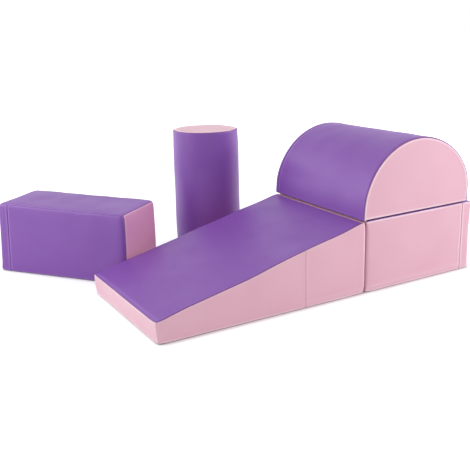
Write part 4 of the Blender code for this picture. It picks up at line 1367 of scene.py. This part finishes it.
# The foam block in each cover: the module's own shape, set in all round
def addFoam(module):
    inset, step = foam["inset"] + foam["deeper"].get(module["name"], 0.0), foam["step"]
    closed = closeUp(insetLoop(module["loop"], inset))
    run = runAlong(closed)
    ring = resample(evenSteps(run, step), run, closed)
    low, high = inset, module["width"] - inset
    levels = np.linspace(low, high, max(3, round((high - low) / step)))
    local = np.vstack([np.column_stack([ring, np.full(len(ring), level)]) for level in levels])
    points, _ = toWorld(module, module["shape"](local, np.ones(len(local))), local)
    faces = stackFaces(len(ring), len(levels))
    piece = newPiece(f"{module['name']}_foam", points, faces, goods["open cell foam"])
    mesh = bmesh.new()
    mesh.from_mesh(piece.data)
    bmesh.ops.recalc_face_normals(mesh, faces=mesh.faces)
    mesh.to_mesh(piece.data)
    mesh.free()
    bevel = piece.modifiers.new("worn edges", "BEVEL")
    bevel.width, bevel.segments = foam["edgeRadius"], foam["edgeSegments"]
    bevel.limit_method, bevel.angle_limit = "ANGLE", math.radians(foam["edgeAngle"])
    dress(piece, module["body"], "foam", f"{module['name']}_foam_core")


for module in modules:
    addFoam(module)
print("foam in place")

view = {
    "place": (-1.778, -2.084, 0.900), "yaw": 30.21, "pitch": 16.34, "roll": -1.44,
    "focalPixels": 779.0, "imagePixels": 470, "sensor": 36.0, "clipEnd": 50,
}


def addCamera():
    yaw, pitch, roll = (math.radians(view[k]) for k in ("yaw", "pitch", "roll"))
    ahead = Vector((math.sin(yaw) * math.cos(pitch), math.cos(yaw) * math.cos(pitch), -math.sin(pitch)))
    right = Vector((math.cos(yaw), -math.sin(yaw), 0))
    up = right.cross(ahead)
    turnedRight = right * math.cos(roll) + up * math.sin(roll)
    turnedUp = up * math.cos(roll) - right * math.sin(roll)
    camera = link("camera", bpy.data.cameras.new("camera"))
    camera.data.sensor_width = view["sensor"]
    camera.data.lens = view["focalPixels"] / view["imagePixels"] * view["sensor"]
    camera.data.clip_end = view["clipEnd"]
    camera.matrix_world = frameAt((turnedRight, turnedUp, -ahead), view["place"])
    scene.camera = camera


studio = {
    "skyStrength": 0.41, "floorColour": (0.86, 0.86, 0.86), "floorSize": 30.0,
    "floorLift": (0.45, 0.95), "liftReach": (1.2, 2.6),
    "contactReach": 0.020, "contactPower": 3.4, "contactWay": (-0.61, 0.51, 0.61),
    "aim": (-0.4, 0.1, 0.2),
    "lamps": {
        "back left": {"place": (-2.6, 2.4, 1.9), "size": 3.4, "power": 30.0},
        "low back left": {"place": (-2.2, 2.9, 0.9), "size": 2.0, "power": 11.0},
        "left": {"place": (-3.4, 0.6, 1.0), "size": 2.2, "power": 26.5},
        "right": {"place": (3.0, -0.8, 1.5), "size": 2.2, "power": 69.0},
        "overhead": {"place": (-0.5, 0.2, 3.8), "size": 2.2, "power": 22.4},
        "front left": {"place": (-1.4, -2.0, 0.7), "size": 2.2, "power": 4.0},
        "front right": {"place": (0.7, -1.7, 0.8), "size": 1.0, "power": 7.8},
    },
}


# White all round for the camera and for reflections; softer as light
def whiteRays(tree):
    rays = add(tree, "ShaderNodeLightPath").outputs
    seen = maths(tree, "MAXIMUM", rays["Is Camera Ray"], rays["Is Glossy Ray"])
    return maths(tree, "MAXIMUM", seen, rays["Is Transmission Ray"])


def addWorld():
    world = bpy.data.worlds.new("studio")
    world.use_nodes = True
    tree = world.node_tree
    strength = spread(tree, whiteRays(tree), 0, 1, studio["skyStrength"], 1)
    feed(tree, tree.nodes["Background"], {"Color": (1, 1, 1, 1), "Strength": strength})
    scene.world = world


# The floor glows white for the camera and in reflections, less near the middle so that shadows show, and a painted
# contact shadow dims the glow close to what stands on it, most on the sides turned away from the left
def addFloor():
    material, tree, shader = newMaterial("studio floor")
    away = output(tree, "ShaderNodeVectorMath", {0: objectPlace(tree)}, "Value", operation="LENGTH")
    lift = spread(tree, away, *studio["liftReach"], *studio["floorLift"])
    contact = {"Distance": studio["contactReach"], "Normal": vector(tree, *studio["contactWay"])}
    beside = output(tree, "ShaderNodeAmbientOcclusion", contact, "AO")
    glow = maths(tree, "MULTIPLY", whiteRays(tree), lift)
    glow = maths(tree, "MULTIPLY", glow, maths(tree, "POWER", beside, studio["contactPower"]))
    feed(tree, shader, {
        "Base Color": (*studio["floorColour"], 1), "Roughness": 1.0, "Specular IOR Level": 0.0,
        "Emission Color": (1, 1, 1, 1), "Emission Strength": glow,
    })
    half = studio["floorSize"] / 2
    corners = [(*corner, 0) for corner in closedLoop(boxSides(half, half))]
    newPiece("studio_floor", corners, [(0, 1, 2, 3)], material)


def addLamps():
    for name, lamp in studio["lamps"].items():
        light = link(name, bpy.data.lights.new(name, "AREA"))
        light.data.shape, light.data.size, light.data.energy = "DISK", lamp["size"], lamp["power"]
        ray = Vector(studio["aim"]) - Vector(lamp["place"])
        turn = ray.to_track_quat("-Z", "Y").to_matrix().to_4x4()
        light.matrix_world = Matrix.Translation(lamp["place"]) @ turn


addCamera()
addWorld()
addFloor()
addLamps()
scene.view_settings.view_transform = "Standard"
